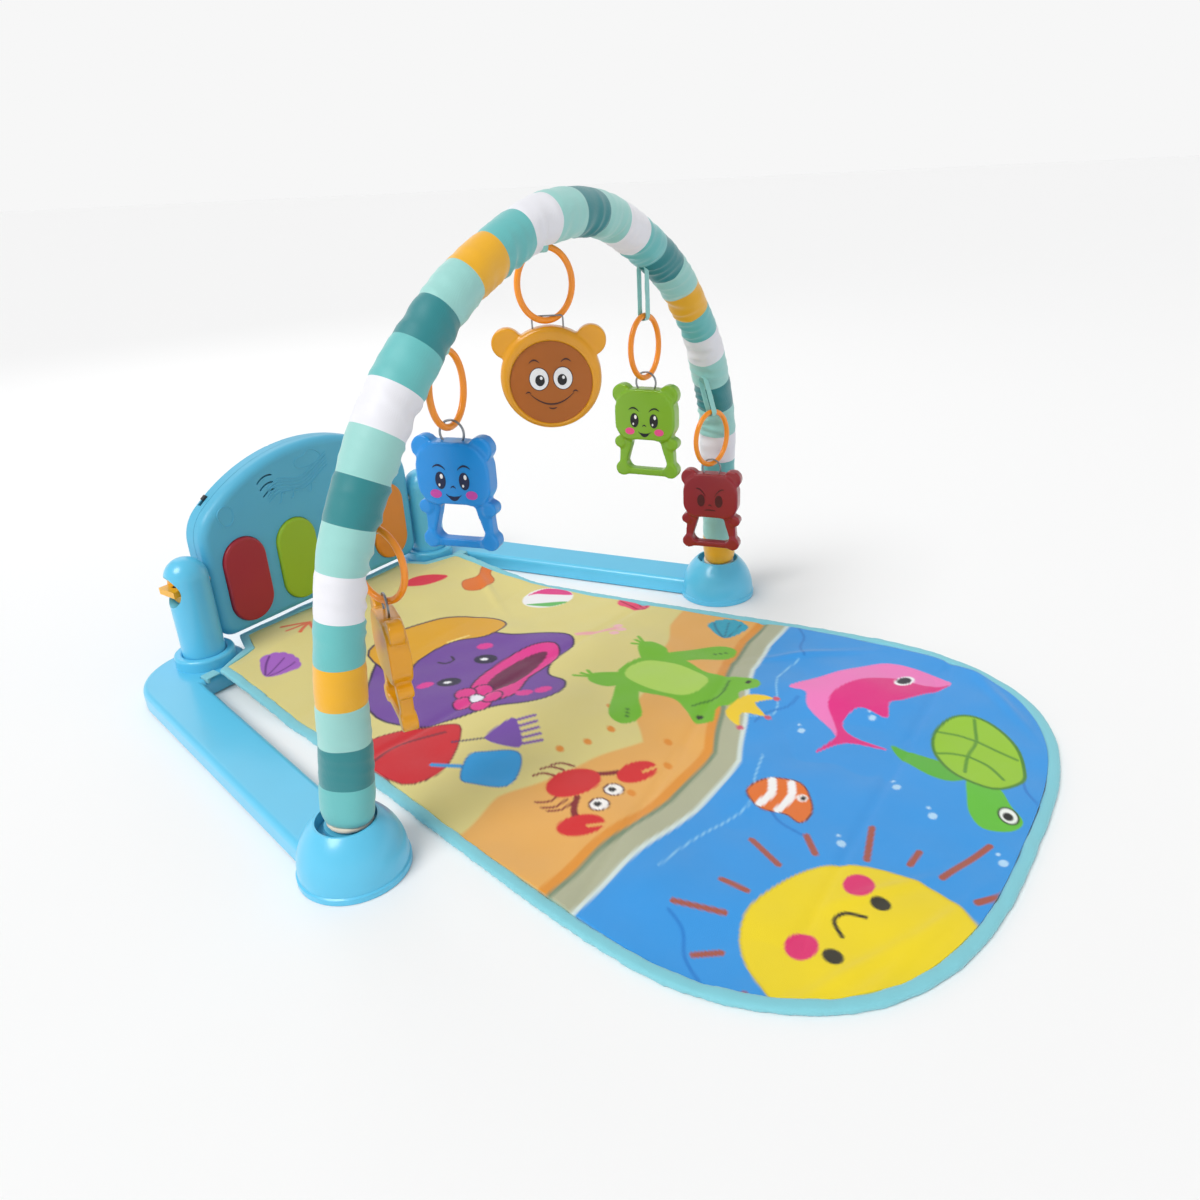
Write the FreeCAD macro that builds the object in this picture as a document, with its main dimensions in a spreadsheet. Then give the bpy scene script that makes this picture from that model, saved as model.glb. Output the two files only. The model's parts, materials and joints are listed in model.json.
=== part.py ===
import FreeCAD, Part
import math
import os
import re
import Sketcher

# Activity play gym for a baby: a floor mat between two flat arms, a padded arch with hanging toys
# over it, and a kick piano that tilts between two posts at the back.
# Frame: origin on the floor in the middle of the footprint, +X to the right, +Y to the piano, +Z up.
# All sizes are in millimetres.

Vec = FreeCAD.Vector
Z_UP = Vec(0, 0, 1)

SIZES = {
    # footprint
    "footprint": 734, "half_span": 250, "foot_y": 10, "leg_shift": 1.8, "post_x": 145.5, "post_y": 332,
    # arch: its centre line starts on the foot axis and leans towards the mat
    "arch_lean": 2.95, "leg_angle": 5.1, "leg_height": 150, "shoulder_radius": 275,
    "shoulder_end": 73, "rod_start": 10, "rod_radius": 6, "rod_wall": 1.4, "joiner_radius": 4.5,
    "joiner_angle": 12, "sleeve_start": 41, "sleeve_radius": 17, "sleeve_wall": 1.2,
    "padding_gap": 0.2, "cuff_height": 3.2, "cuff_radius": 15.4,
    # dome feet
    "dome_radius": 38, "dome_height": 40, "dome_lip": 4, "dome_mouth": 20.2, "dome_wall": 2.6,
    "dome_curve": 44, "dome_step": 1.2, "dome_slope": 0.8, "mouth_rim": 1.4, "inner_reach": 4.6,
    "ledge_depth": 9, "ledge_radius": 13, "socket_radius": 10, "socket_flange": 17, "socket_top": 36,
    "socket_floor": 4, "flange_height": 3, "rod_play": 0.06, "notch_cut": 4,
    # flat arms
    "arm_width": 45, "arm_top": 17, "arm_bottom": 1, "arm_wall": 2.5, "arm_round": 5,
    "arm_angle": 11.75, "arm_offset": 4.7, "elbow_radius": 60, "elbow_y": 319, "elbow_x": 9.5,
    "boss_radius": 35, "arm_end_y": 30, "cover_thickness": 2, "fit_gap": 0.25,
    "collar_radius": 26.5, "collar_top": 28, "collar_round": 2.6, "pad_radius": 7,
    "slot_x": 168, "slot_y": 300, "slot_length": 13, "slot_width": 3.4,
    # screws, and the posts and holes they go into
    "shank_radius": 1.2, "head_radius": 2.6, "head_height": 0.9, "thread_hole": 1.25,
    "clear_hole": 1.6, "arm_screw": 9.5, "arm_screw_hole": 11, "arm_screw_post": 4,
    "case_screw_hole": 10, "case_screw_post": 3.4, "case_screw_reach": 7,
    # posts
    "post_radius": 18.7, "post_height": 120,
    "post_bore_depth": 50, "post_wall": 3,
    # tilt axis and lock knobs
    "tilt_y": 335, "tilt_z": 92, "pin_radius": 4, "pin_length": 40, "running_play": 0.06,
    "recess_radius": 14.6, "recess_floor": 6, "knob_radius": 13, "knob_disc": 4, "knob_reach": 13,
    "knob_grip": 6, "grip_length": 23, "pin_inset": 9,
    # piano case
    "panel_half": 125.5, "panel_bottom": 28, "panel_side_top": 122, "panel_shoulder": 38,
    "panel_top": 190, "panel_corner": 15, "shell_depth": 13.8, "shell_wall": 2.5,
    "case_round": 8, "case_inner_round": 4,
    "rear_round": 4, "seam_gap": 0.4, "seam_y": 342,
    # piano keys
    "key_pitch": 59, "key_width": 46, "key_height": 84.6, "key_z": 78, "key_gap": 0.5,
    "key_proud": 3.5, "key_flange": 1.2, "flange_thickness": 1.5, "key_round": 2.5,
    # piano electronics
    "board_width": 224, "board_height": 66, "board_thickness": 1.6, "board_y": 9.4,
    "contact_radius": 6, "contact_height": 0.9, "speaker_x": 50, "speaker_z": 156,
    "speaker_radius": 17, "speaker_depth": 8, "slot_step": 7, "slot_rise": 4, "slot_sag": 3.4,
    "slot_base": 1, "slot_end": 1.6, "slot_taper": 1.2, "slot_reach": 8,
    "slot_low_curve": 16, "slot_high_curve": 17.6, "plunger_reach": 0.8,
    "cell_radius": 7.2, "cell_length": 50.5, "cell_x": 24, "cell_z": 145, "cell_pitch": 15.2, "cell_y": 4,
    "tray_depth": 16, "tray_wall": 1.2, "tray_play_x": 3, "tray_play_z": 4, "tray_y": 4.9,
    "plate_thickness": 0.6, "plate_width": 8, "plate_height": 9, "plate_reach": 0.8,
    "door_width": 66, "door_height": 56, "door_thickness": 2,
    "switch_angle": 125, "switch_slot": 11, "switch_width": 4.4, "switch_length": 5,
    "switch_y": 7, "switch_proud": 2,
    # mat
    "mat_thickness": 5, "mat_rise_start": 190, "mat_rise_end": 288,
    "mat_rear_lift": 17.6, "mat_rear_y": 340, "binding_width": 9, "mat_corner_x": 117,
    "mat_corner_cut": 28, "mat_rear_x": 104, "tongue_length": 13, "tongue_thickness": 1.4,
    "tongue_lift": 0.6, "tab_height": 5, "tab_rise": 2,
    # hanging rings and toys
    "ring_half_width": 20.7, "ring_half_height": 24.7, "ring_bar": 2.3, "strap_width": 6,
    "strap_thickness": 1, "strap_gap": 0.8, "loop_radius": 8.6, "loop_wire": 0.8,
    "loop_drop": 4.3, "case_drop": 3.6,
    "bear_depth": 14, "ear_depth": 10, "handle_depth": 9, "limb_depth": 11, "bear_ear": 8.5, "bear_ear_x": 20.5,
    "bear_ear_z": 9.5, "head_half": 26.5, "head_top": 4.6, "head_base": 48, "head_round": 19, "cheek_round": 14,
    "bear_height": 80.3, "paw_x": 23.5, "paw_z": 50.5, "paw_radius": 5, "shoe_x": 21.5,
    "shoe_radius": 6.5, "hole_top": 47.5, "hole_base": 73.2, "hole_top_half": 13.5,
    "hole_base_half": 18, "hole_round": 5.5, "handle_base": 79, "handle_base_half": 25,
    "handle_top_half": 22.5, "handle_round": 6,
    "face_radius": 36.5, "face_depth": 14, "face_round": 4, "face_ear": 11, "face_ear_x": 30,
    "face_ear_z": 11, "face_ear_depth": 9, "disc_radius": 29.5, "disc_thickness": 1.5, "disc_drop": 3,
    "disc_set_back": 1.45, "recess_play": 1.5, "face_middle": 4,
    "bracket_width": 22, "bracket_height": 6.8, "bracket_wire": 0.6, "bracket_bend": 2,
    "bracket_root": 4,
}

# Every hanging toy: where it hangs (x, y), the height of its ring's lowest point, the way the ring
# and the toy face (degrees from -X towards -Y), and the point where its strap leaves the sleeve.
TOYS = {
    "yellow": {"x": -196, "y": 4, "ring_low": 174, "ring_turn": 5, "toy_turn": 150,
               "strap_root": (-203, 3, 242)},
    "blue": {"x": -122, "y": 2, "ring_low": 269, "ring_turn": 103, "toy_turn": 18,
             "strap_root": (-122, -3, 333)},
    "mirror": {"x": -20, "y": -2, "ring_low": 321.5, "ring_turn": 62, "toy_turn": 36,
               "strap_root": (-20, -7, 384)},
    "green": {"x": 97, "y": -7, "ring_low": 258.5, "ring_turn": 90, "toy_turn": 12,
              "strap_root": (97, -7, 346)},
    "red": {"x": 193, "y": -15, "ring_low": 159, "ring_turn": 76, "toy_turn": 15,
            "strap_root": (208, -8, 238)},
}

KEYS = {"key_red": -1.5, "key_green": -0.5, "key_purple": 0.5, "key_orange": 1.5}

doc = FreeCAD.newDocument("PlayGym")
sheet = doc.addObject("Spreadsheet::Sheet", "Sizes")
for row, (word, number) in enumerate(SIZES.items(), start=1):
    sheet.set("A%d" % row, word)
    sheet.set("B%d" % row, str(number))
    sheet.setAlias("B%d" % row, word)
doc.recompute()

handed_over = []
WORD = re.compile(r"[a-z][a-z_]*")


def formula(text):
    """The text as an expression, with each size name pointed at its cell."""
    return WORD.sub(lambda word: "Sizes." + word.group() if word.group() in SIZES else word.group(),
                    str(text))


def size(text):
    """The number that a formula gives."""
    return float(sheet.evalExpression(formula(text)))


def bind(item, **formulas):
    """Set properties from formulas: Height="arm_top - 2" binds item.Height to the sheet."""
    for name, text in formulas.items():
        item.setExpression(name, formula(text))
    return item


def place(item, x=0, y=0, z=0, axis=Z_UP, angle=0):
    """Put an item at formulas x, y, z, turned by angle degrees about axis."""
    turn = FreeCAD.Rotation(axis, angle)
    item.Placement = FreeCAD.Placement(Vec(size(x), size(y), size(z)), turn)
    for letter, text in zip("xyz", (x, y, z)):
        item.setExpression("Placement.Base." + letter, formula(text))
    return item


def hand_over(item, label=None):
    """Mark a finished piece as one of the gym's own parts."""
    if label:
        item.Label = label
    handed_over.append(item)
    return item


# ---- sketches and features --------------------------------------------------------------------

def new_body(label):
    return doc.addObject("PartDesign::Body", label)


def new_sketch(body, name, plane, lift="0"):
    """A sketch on one of the body's own origin planes, lifted along the plane's normal."""
    sketch = body.newObject("Sketcher::SketchObject", body.Name + "_" + name)
    support = [f for f in body.Origin.OriginFeatures if f.Role == plane]
    sketch.AttachmentSupport = [(support[0], "")]
    sketch.MapMode = "FlatFace"
    sketch.setExpression("AttachmentOffset.Base.z", formula(lift))
    return sketch


def hold(sketch, kind, text, *where):
    """A dimension constraint whose value is a formula."""
    number = sketch.addConstraint(Sketcher.Constraint(kind, *where, size(text)))
    sketch.setExpression("Constraints[%d]" % number, formula(text))


def circle(sketch, radius, x="0", y="0"):
    centre = Vec(size(x), size(y), 0)
    number = sketch.addGeometry(Part.Circle(centre, Z_UP, size(radius)))
    hold(sketch, "Radius", radius, number)
    hold(sketch, "DistanceX", x, -1, 1, number, 3)
    hold(sketch, "DistanceY", y, -1, 1, number, 3)
    return sketch


def bent_side(start, end, radius):
    """An arc from start to end that bulges to the right of travel, or left if radius is negative."""
    chord = end - start
    left = Vec(-chord.y, chord.x, 0).normalize()
    rise = math.sqrt(max(radius ** 2 - (chord.Length / 2) ** 2, 0))
    centre = (start + end) * 0.5 + left * math.copysign(rise, radius)
    first, last = (start, end) if radius > 0 else (end, start)
    a = math.atan2(first.y - centre.y, first.x - centre.x)
    b = math.atan2(last.y - centre.y, last.x - centre.x)
    b = b if b > a else b + 2 * math.pi
    return Part.ArcOfCircle(Part.Circle(centre, Z_UP, abs(radius)), a, b)


def outline(sketch, corners):
    """A closed outline. A corner is (x, y), or (x, y, radius) where the side that leaves it is an
    arc, bulging to the right of travel, or to the left when the radius is negative."""
    points = [Vec(size(corner[0]), size(corner[1]), 0) for corner in corners]
    ends = []
    for number, corner in enumerate(corners):
        start, end = points[number], points[(number + 1) % len(points)]
        if len(corner) == 3:
            radius = size(corner[2])
            side = sketch.addGeometry(bent_side(start, end, radius))
            ends.append((side, 1, 2) if radius > 0 else (side, 2, 1))
        else:
            ends.append((sketch.addGeometry(Part.LineSegment(start, end)), 1, 2))
    for number, corner in enumerate(corners):
        side, start_end, far_end = ends[number]
        after, after_start, _ = ends[(number + 1) % len(ends)]
        sketch.addConstraint(Sketcher.Constraint("Coincident", side, far_end, after, after_start))
        hold(sketch, "DistanceX", corner[0], -1, 1, side, start_end)
        hold(sketch, "DistanceY", corner[1], -1, 1, side, start_end)
        if len(corner) == 3:
            hold(sketch, "Radius", str(corner[2]).lstrip("-"), side)
    return sketch


def rectangle(sketch, width, height, x="0", y="0"):
    low_x, high_x = "%s - (%s) / 2" % (x, width), "%s + (%s) / 2" % (x, width)
    low_y, high_y = "%s - (%s) / 2" % (y, height), "%s + (%s) / 2" % (y, height)
    return outline(sketch, [(low_x, low_y), (high_x, low_y), (high_x, high_y), (low_x, high_y)])


def soft_outline(sketch, low, high):
    """A closed outline, even left and right, with round corners. low and high are each the half
    width, level and corner radius of the bottom and top sides."""
    (low_half, low_y, low_round), (high_half, high_y, high_round) = low, high
    low_inner, high_inner = "%s - %s" % (low_half, low_round), "%s - %s" % (high_half, high_round)
    low_end, high_end = "%s + %s" % (low_y, low_round), "%s - %s" % (high_y, high_round)
    return outline(sketch, [
        ("-(%s)" % low_inner, low_y), (low_inner, low_y, low_round), (low_half, low_end),
        (high_half, high_end, high_round), (high_inner, high_y), ("-(%s)" % high_inner, high_y, high_round),
        ("-(%s)" % high_half, high_end), ("-(%s)" % low_half, low_end, low_round)])


def stadium(sketch, width, height, x="0", y="0"):
    """An upright slot shape with round ends."""
    reach = "(%s) / 2 - (%s) / 2" % (height, width)
    left, right = "%s - (%s) / 2" % (x, width), "%s + (%s) / 2" % (x, width)
    bottom, top = "%s - (%s)" % (y, reach), "%s + %s" % (y, reach)
    low, high = "%s - (%s) / 2" % (y, height), "%s + (%s) / 2" % (y, height)
    arc = "(%s) / 2" % width
    return outline(sketch, [(left, bottom, arc), (x, low, arc), (right, bottom), (right, top, arc),
                            (x, high, arc), (left, top)])


def feature(body, kind, sketch, **settings):
    item = body.newObject("PartDesign::" + kind, sketch.Name + "_" + kind.lower())
    item.Profile = sketch
    for name, value in settings.items():
        if name in ("Length", "Length2"):
            bind(item, **{name: value})
        else:
            setattr(item, name, value)
    doc.recompute()
    return item


def pad(body, sketch, length, **settings):
    return feature(body, "Pad", sketch, Length=length, **settings)


def pocket(body, sketch, length, **settings):
    """A cut, checked to have removed something."""
    before = body.Shape.Volume
    item = feature(body, "Pocket", sketch, Length=length, **settings)
    if body.Shape.Volume > before - 1e-3:
        raise ValueError("nothing cut by " + sketch.Name)
    return item


def revolve(body, sketch):
    return feature(body, "Revolution", sketch, ReferenceAxis=(sketch, ["V_Axis"]), Angle=360.0)


def round_edges(body, radius, chosen):
    """A fillet on the edges of the body's present shape that the test picks."""
    base = body.Tip
    names = ["Edge%d" % (n + 1) for n, edge in enumerate(base.Shape.Edges) if chosen(edge.BoundBox)]
    item = body.newObject("PartDesign::Fillet", body.Name + "_round")
    item.Base = (base, names)
    bind(item, Radius=radius)
    doc.recompute()
    return item


def on_plane(letter, text):
    """A test for edges that lie in the plane where the coordinate has the formula's value."""
    level = size(text)
    low, high = letter + "Min", letter + "Max"
    return lambda box: abs(getattr(box, low) - level) < 0.01 and abs(getattr(box, high) - level) < 0.01


def mirrored(source, label):
    """The same piece on the other side of the gym."""
    item = doc.addObject("Part::Mirroring", label)
    item.Source = source
    item.Normal = Vec(1, 0, 0)
    item.Base = Vec(0, 0, 0)
    return hand_over(item)


def both_sides(body, name):
    """Hand over a left piece and its mirror image."""
    hand_over(body, "left_" + name)
    mirrored(body, "right_" + name)


def shape_part(label, shape, placement=None):
    """A piece made with Part's own functions, such as a sweep."""
    item = doc.addObject("Part::Feature", label)
    item.Shape = shape
    if placement:
        item.Placement = placement
    return hand_over(item)


def cylinder(name, radius, height, **spot):
    item = doc.addObject("Part::Cylinder", name)
    bind(item, Radius=radius, Height=height)
    return place(item, **spot)


def box(name, length, width, height, **spot):
    item = doc.addObject("Part::Box", name)
    bind(item, Length=length, Width=width, Height=height)
    return place(item, **spot)


def group(label, items):
    """Separate identical solids in one piece list."""
    item = doc.addObject("Part::Compound", label)
    item.Links = items
    return hand_over(item)


# ---- flat arms, covers and feet ---------------------------------------------------------------

def arm_corners(inset):
    """The left arm seen from above: straight from the foot, round the elbow, round the post."""
    front = "%s + tan(arm_angle) * (arm_end_y - foot_y)" % "-half_span - arm_offset"
    slope = "(arm_width / 2 - %s) / cos(arm_angle)" % inset
    rear_mid = "-half_span - arm_offset + tan(arm_angle) * (elbow_y - foot_y)"
    boss = "boss_radius - %s" % inset
    return [
        ("%s - %s" % (front, slope), "arm_end_y + %s" % inset),
        ("%s + %s" % (front, slope), "arm_end_y + %s" % inset),
        ("%s + %s - tan(arm_angle) * (elbow_y - post_y + %s)" % (rear_mid, slope, boss),
         "post_y - (%s)" % boss),
        ("-post_x", "post_y - (%s)" % boss, boss),
        ("-post_x + %s" % boss, "post_y", boss),
        ("-post_x", "post_y + %s" % boss),
        ("-post_x - elbow_x", "post_y + %s" % boss, "elbow_radius - %s" % inset),
        ("%s - %s" % (rear_mid, slope), "elbow_y"),
    ]


SCREW_SPOTS = (("-post_x - 26", "post_y + 14"), ("-half_span + 22", "170"), ("-half_span + 2", "62"))


def make_arms():
    arm = new_body("left_arm")
    pad(arm, outline(new_sketch(arm, "plan", "XY_Plane", "arm_bottom"), arm_corners("0")),
        "arm_top - arm_bottom")
    round_edges(arm, "arm_round", on_plane("Z", "arm_top"))
    pocket(arm, outline(new_sketch(arm, "hollow", "XY_Plane", "arm_bottom"), arm_corners("arm_wall")),
           "arm_top - arm_bottom - arm_wall", Reversed=True)
    posts = new_sketch(arm, "screw_posts", "XY_Plane", "arm_bottom + cover_thickness + 0.3")
    for x, y in SCREW_SPOTS:
        circle(posts, "arm_screw_post", x, y)
    pad(arm, posts, "arm_top - arm_bottom - cover_thickness - 1.5")
    holes = new_sketch(arm, "screw_holes", "XY_Plane", "arm_bottom")
    for x, y in SCREW_SPOTS:
        circle(holes, "thread_hole", x, y)
    pocket(arm, holes, "arm_screw_hole", Reversed=True)
    collar = new_sketch(arm, "collar", "XY_Plane", "arm_top - arm_wall / 2")
    circle(collar, "collar_radius", "-post_x", "post_y")
    circle(collar, "post_radius + fit_gap", "-post_x", "post_y")
    pad(arm, collar, "collar_top - arm_top + arm_wall / 2")
    round_edges(arm, "collar_round", on_plane("Z", "collar_top"))
    slot = new_sketch(arm, "strap_slot", "XY_Plane", "arm_top")
    rectangle(slot, "slot_width", "slot_length", "-slot_x", "slot_y")
    pocket(arm, slot, "arm_wall + 1")
    both_sides(arm, "arm")

    cover = new_body("left_arm_cover")
    pad(cover, outline(new_sketch(cover, "plan", "XY_Plane", "arm_bottom"),
                       arm_corners("(arm_wall + fit_gap)")), "cover_thickness")
    cover_holes = new_sketch(cover, "screw_holes", "XY_Plane", "arm_bottom")
    for x, y in SCREW_SPOTS:
        circle(cover_holes, "clear_hole", x, y)
    pocket(cover, cover_holes, "cover_thickness", Reversed=True)
    both_sides(cover, "arm_cover")

    feet, screws = [], []
    for side, sign in (("left", ""), ("right", "-")):
        for number, (x, y) in enumerate(SCREW_SPOTS):
            spot = {"x": "%s(%s)" % (sign, x), "y": y}
            name = "%s_%d" % (side, number)
            shank = cylinder("shank_" + name, "shank_radius", "arm_screw", z="arm_bottom", **spot)
            head = cylinder("head_" + name, "head_radius", "head_height",
                            z="arm_bottom - head_height", **spot)
            screw = doc.addObject("Part::MultiFuse", "screw_" + name)
            screw.Shapes = [shank, head]
            screws.append(screw)
        for number, y in enumerate(("90", "230", "post_y")):
            middle = "-half_span - arm_offset + tan(arm_angle) * (%s - foot_y)" % y
            spot = {"x": "%s(%s)" % (sign, middle if y != "post_y" else "-post_x"), "y": y}
            feet.append(cylinder("pad_%s_%d" % (side, number), "pad_radius", "arm_bottom", **spot))
    group("arm_screws", screws)
    group("rubber_feet", feet)


def make_domes():
    """A hollow dome with a round mouth, a ledge for the rod socket and a notch over the arm."""
    dome = new_body("left_dome")
    profile = new_sketch(dome, "profile", "XZ_Plane")
    outline(profile, [
        ("dome_radius - dome_wall", "0"), ("dome_radius", "0"), ("dome_radius", "dome_lip"),
        ("dome_radius - dome_step", "dome_lip + dome_slope", "dome_curve"),
        ("dome_mouth + mouth_rim", "dome_height"), ("dome_mouth", "dome_height"),
        ("dome_mouth", "dome_height - ledge_depth"), ("ledge_radius", "dome_height - ledge_depth"),
        ("ledge_radius", "dome_height - ledge_depth - dome_wall"),
        ("dome_mouth + mouth_rim - dome_wall + inner_reach", "dome_height - ledge_depth - dome_wall",
         "-dome_curve"),
        ("dome_radius - dome_step - dome_wall", "dome_lip + dome_slope")])
    revolve(dome, profile)
    notch = new_sketch(dome, "arm_notch", "XZ_Plane")
    rectangle(notch, "arm_width + 2 * fit_gap", "arm_top + fit_gap + notch_cut", "-arm_offset",
              "(arm_top + fit_gap - notch_cut) / 2")
    pocket(dome, notch, "dome_radius + 2")
    place(dome, "-half_span", "foot_y", "0", Z_UP, -size("arm_angle"))
    both_sides(dome, "dome")

    socket = new_body("left_rod_socket")
    profile = new_sketch(socket, "profile", "XZ_Plane")
    outline(profile, [
        ("0", "rod_start - socket_floor"), ("socket_radius", "rod_start - socket_floor"),
        ("socket_radius", "socket_top - flange_height"),
        ("socket_flange", "socket_top - flange_height"), ("socket_flange", "socket_top"),
        ("rod_radius + rod_play", "socket_top"), ("rod_radius + rod_play", "rod_start"),
        ("0", "rod_start")])
    revolve(socket, profile)
    socket.Placement = foot_placement()
    both_sides(socket, "rod_socket")


def foot_placement():
    """The left foot's axis: it leans in by the leg's angle and forward by the arch's."""
    lean = FreeCAD.Rotation(Vec(1, 0, 0), size("arch_lean"))
    inward = FreeCAD.Rotation(Vec(0, 1, 0), size("leg_angle"))
    start = Vec(-size("half_span + leg_shift"), size("foot_y"), 0)
    return FreeCAD.Placement(start, lean * inward)


# ---- arch -------------------------------------------------------------------------------------

def arch_placement():
    return FreeCAD.Placement(Vec(0, size("foot_y"), 0),
                             FreeCAD.Rotation(Vec(1, 0, 0), size("arch_lean")))


class ArchLine:
    """The arch's centre line in its own plane (x, z): a straight leg, a wide shoulder arc and a
    tighter crown arc on each side. Places are given by the length along it from the left foot."""

    def __init__(self):
        lean = math.radians(size("leg_angle"))
        self.turns = [lean, math.radians(size("shoulder_end")), math.pi / 2]
        self.leg = size("leg_height") / math.cos(lean)
        foot = Vec(-size("half_span + leg_shift"), 0, 0)
        leg_top = foot + Vec(math.sin(lean), 0, math.cos(lean)) * self.leg
        self.shoulder_radius = size("shoulder_radius")
        self.shoulder_centre = leg_top + self.inward(lean) * self.shoulder_radius
        shoulder_top = self.shoulder_centre - self.inward(self.turns[1]) * self.shoulder_radius
        self.crown_radius = -shoulder_top.x / self.inward(self.turns[1]).x
        self.crown_centre = shoulder_top + self.inward(self.turns[1]) * self.crown_radius
        self.foot = foot
        self.shoulder = self.shoulder_radius * (self.turns[1] - self.turns[0])
        self.half = self.leg + self.shoulder + self.crown_radius * (self.turns[2] - self.turns[1])

    @staticmethod
    def inward(turn):
        return Vec(math.cos(turn), 0, -math.sin(turn))

    def left_point(self, length):
        if length <= self.leg:
            lean = self.turns[0]
            return self.foot + Vec(math.sin(lean), 0, math.cos(lean)) * length
        length -= self.leg
        if length <= self.shoulder:
            turn = self.turns[0] + length / self.shoulder_radius
            return self.shoulder_centre - self.inward(turn) * self.shoulder_radius
        turn = self.turns[1] + (length - self.shoulder) / self.crown_radius
        return self.crown_centre - self.inward(turn) * self.crown_radius

    def point(self, length):
        if length <= self.half:
            return self.left_point(length)
        other = self.left_point(2 * self.half - length)
        return Vec(-other.x, 0, other.z)

    def knots(self):
        left = [0, self.leg, self.leg + self.shoulder]
        return left + [2 * self.half - length for length in reversed(left)]

    def wire(self, start, end):
        """The stretch of the line from start to end, as lines and arcs."""
        stops = [start] + [k for k in self.knots() if start + 1 < k < end - 1] + [end]
        edges = []
        for a, b in zip(stops, stops[1:]):
            straight = b <= self.leg + 1e-6 or a >= 2 * self.half - self.leg - 1e-6
            if straight:
                edges.append(Part.LineSegment(self.point(a), self.point(b)).toShape())
            else:
                arc = Part.Arc(self.point(a), self.point((a + b) / 2), self.point(b))
                edges.append(arc.toShape())
        return Part.Wire(edges)

    def tube(self, start, end, outer, inner=0):
        """A round bar or tube along the stretch."""
        path = self.wire(start, end)
        along = (self.point(start + 0.5) - self.point(start)).normalize()
        circles = [Part.Wire(Part.Circle(self.point(start), along, r).toShape())
                   for r in (outer, inner) if r]
        solid = path.makePipeShell([circles[0]], True, False)
        if inner:
            solid = solid.cut(path.makePipeShell([circles[1]], True, False))
        return solid


def make_arch(line):
    rod, wall = size("rod_radius"), size("rod_wall")
    start, middle = size("rod_start"), line.half
    arch = arch_placement()
    shape_part("left_arch_rod", line.tube(start, middle - 0.1, rod, rod - wall), arch)
    shape_part("right_arch_rod", line.tube(middle + 0.1, 2 * middle - start, rod, rod - wall), arch)
    reach = math.radians(size("joiner_angle")) * line.crown_radius
    shape_part("arch_joiner", line.tube(middle - reach, middle + reach, size("joiner_radius")), arch)

    sleeve, gap = size("sleeve_radius"), size("padding_gap")
    inner = sleeve - size("sleeve_wall")
    start = size("sleeve_start")
    end = 2 * middle - start
    shape_part("arch_sleeve", line.tube(start, end, sleeve, inner), arch)
    shape_part("arch_padding", line.tube(start, end, inner - gap, rod + gap), arch)
    cuff, height = size("cuff_radius"), size("cuff_height")
    shape_part("left_cuff", line.tube(start - gap - height, start - gap, cuff, rod + gap), arch)
    shape_part("right_cuff", line.tube(end + gap, end + gap + height, cuff, rod + gap), arch)


# ---- posts, tilt pins and lock knobs ----------------------------------------------------------

TOWARDS_LEFT = {"axis": Vec(0, 1, 0), "angle": -90}


def make_posts():
    """Hollow posts with a domed top, a bore for the tilt pin and a round recess for the knob."""
    foot = "arm_top + fit_gap"
    post = new_body("left_post")
    profile = new_sketch(post, "profile", "XZ_Plane")
    outline(profile, [
        ("post_radius - post_wall", foot), ("post_radius", foot),
        ("post_radius", "post_height - post_radius", "post_radius"), ("0", "post_height"),
        ("0", foot + " + post_bore_depth"), ("post_radius - post_wall", foot + " + post_bore_depth")])
    revolve(post, profile)
    bore = new_sketch(post, "pin_bore", "YZ_Plane")
    circle(bore, "pin_radius + running_play", "tilt_y - post_y", "tilt_z")
    pocket(post, bore, "3 * post_radius", SideType="Symmetric")
    recess = new_sketch(post, "knob_recess", "YZ_Plane", "-recess_floor")
    circle(recess, "recess_radius", "tilt_y - post_y", "tilt_z")
    pocket(post, recess, "2 * post_radius")
    place(post, "-post_x", "post_y", "0")
    both_sides(post, "post")


def make_tilt_pins():
    """Plain pins: pressed into the piano's side walls and turning in the posts."""
    pin = cylinder("left_tilt_pin", "pin_radius", "pin_length", x="-panel_half + pin_inset", y="tilt_y",
                   z="tilt_z", **TOWARDS_LEFT)
    both_sides(pin, "tilt_pin")


def make_knobs():
    """A lock knob: a disc in the post's recess with a straight finger grip across it."""
    knob = new_body("left_lock_knob")
    pad(knob, circle(new_sketch(knob, "disc", "YZ_Plane"), "knob_radius"), "knob_disc", Reversed=True)
    grip = new_sketch(knob, "grip", "YZ_Plane")
    rectangle(grip, "grip_length", "knob_grip")
    pad(knob, grip, "knob_reach", Reversed=True)
    bore = circle(new_sketch(knob, "bore", "YZ_Plane"), "pin_radius + running_play")
    pocket(knob, bore, "knob_reach / 2")
    place(knob, "-post_x - recess_floor - fit_gap", "tilt_y", "tilt_z")
    both_sides(knob, "lock_knob")


# ---- piano ------------------------------------------------------------------------------------

CROWN = ("((panel_half - panel_shoulder)^2 + (panel_top - panel_side_top)^2 - panel_shoulder^2)"
         " / (2 * (panel_top - panel_side_top - panel_shoulder))")
SCREWS = ((-118.3, 112), (118.3, 112), (-118.3, 46), (118.3, 46), (-82, 148), (82, 148), (-12, 176))


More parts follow.
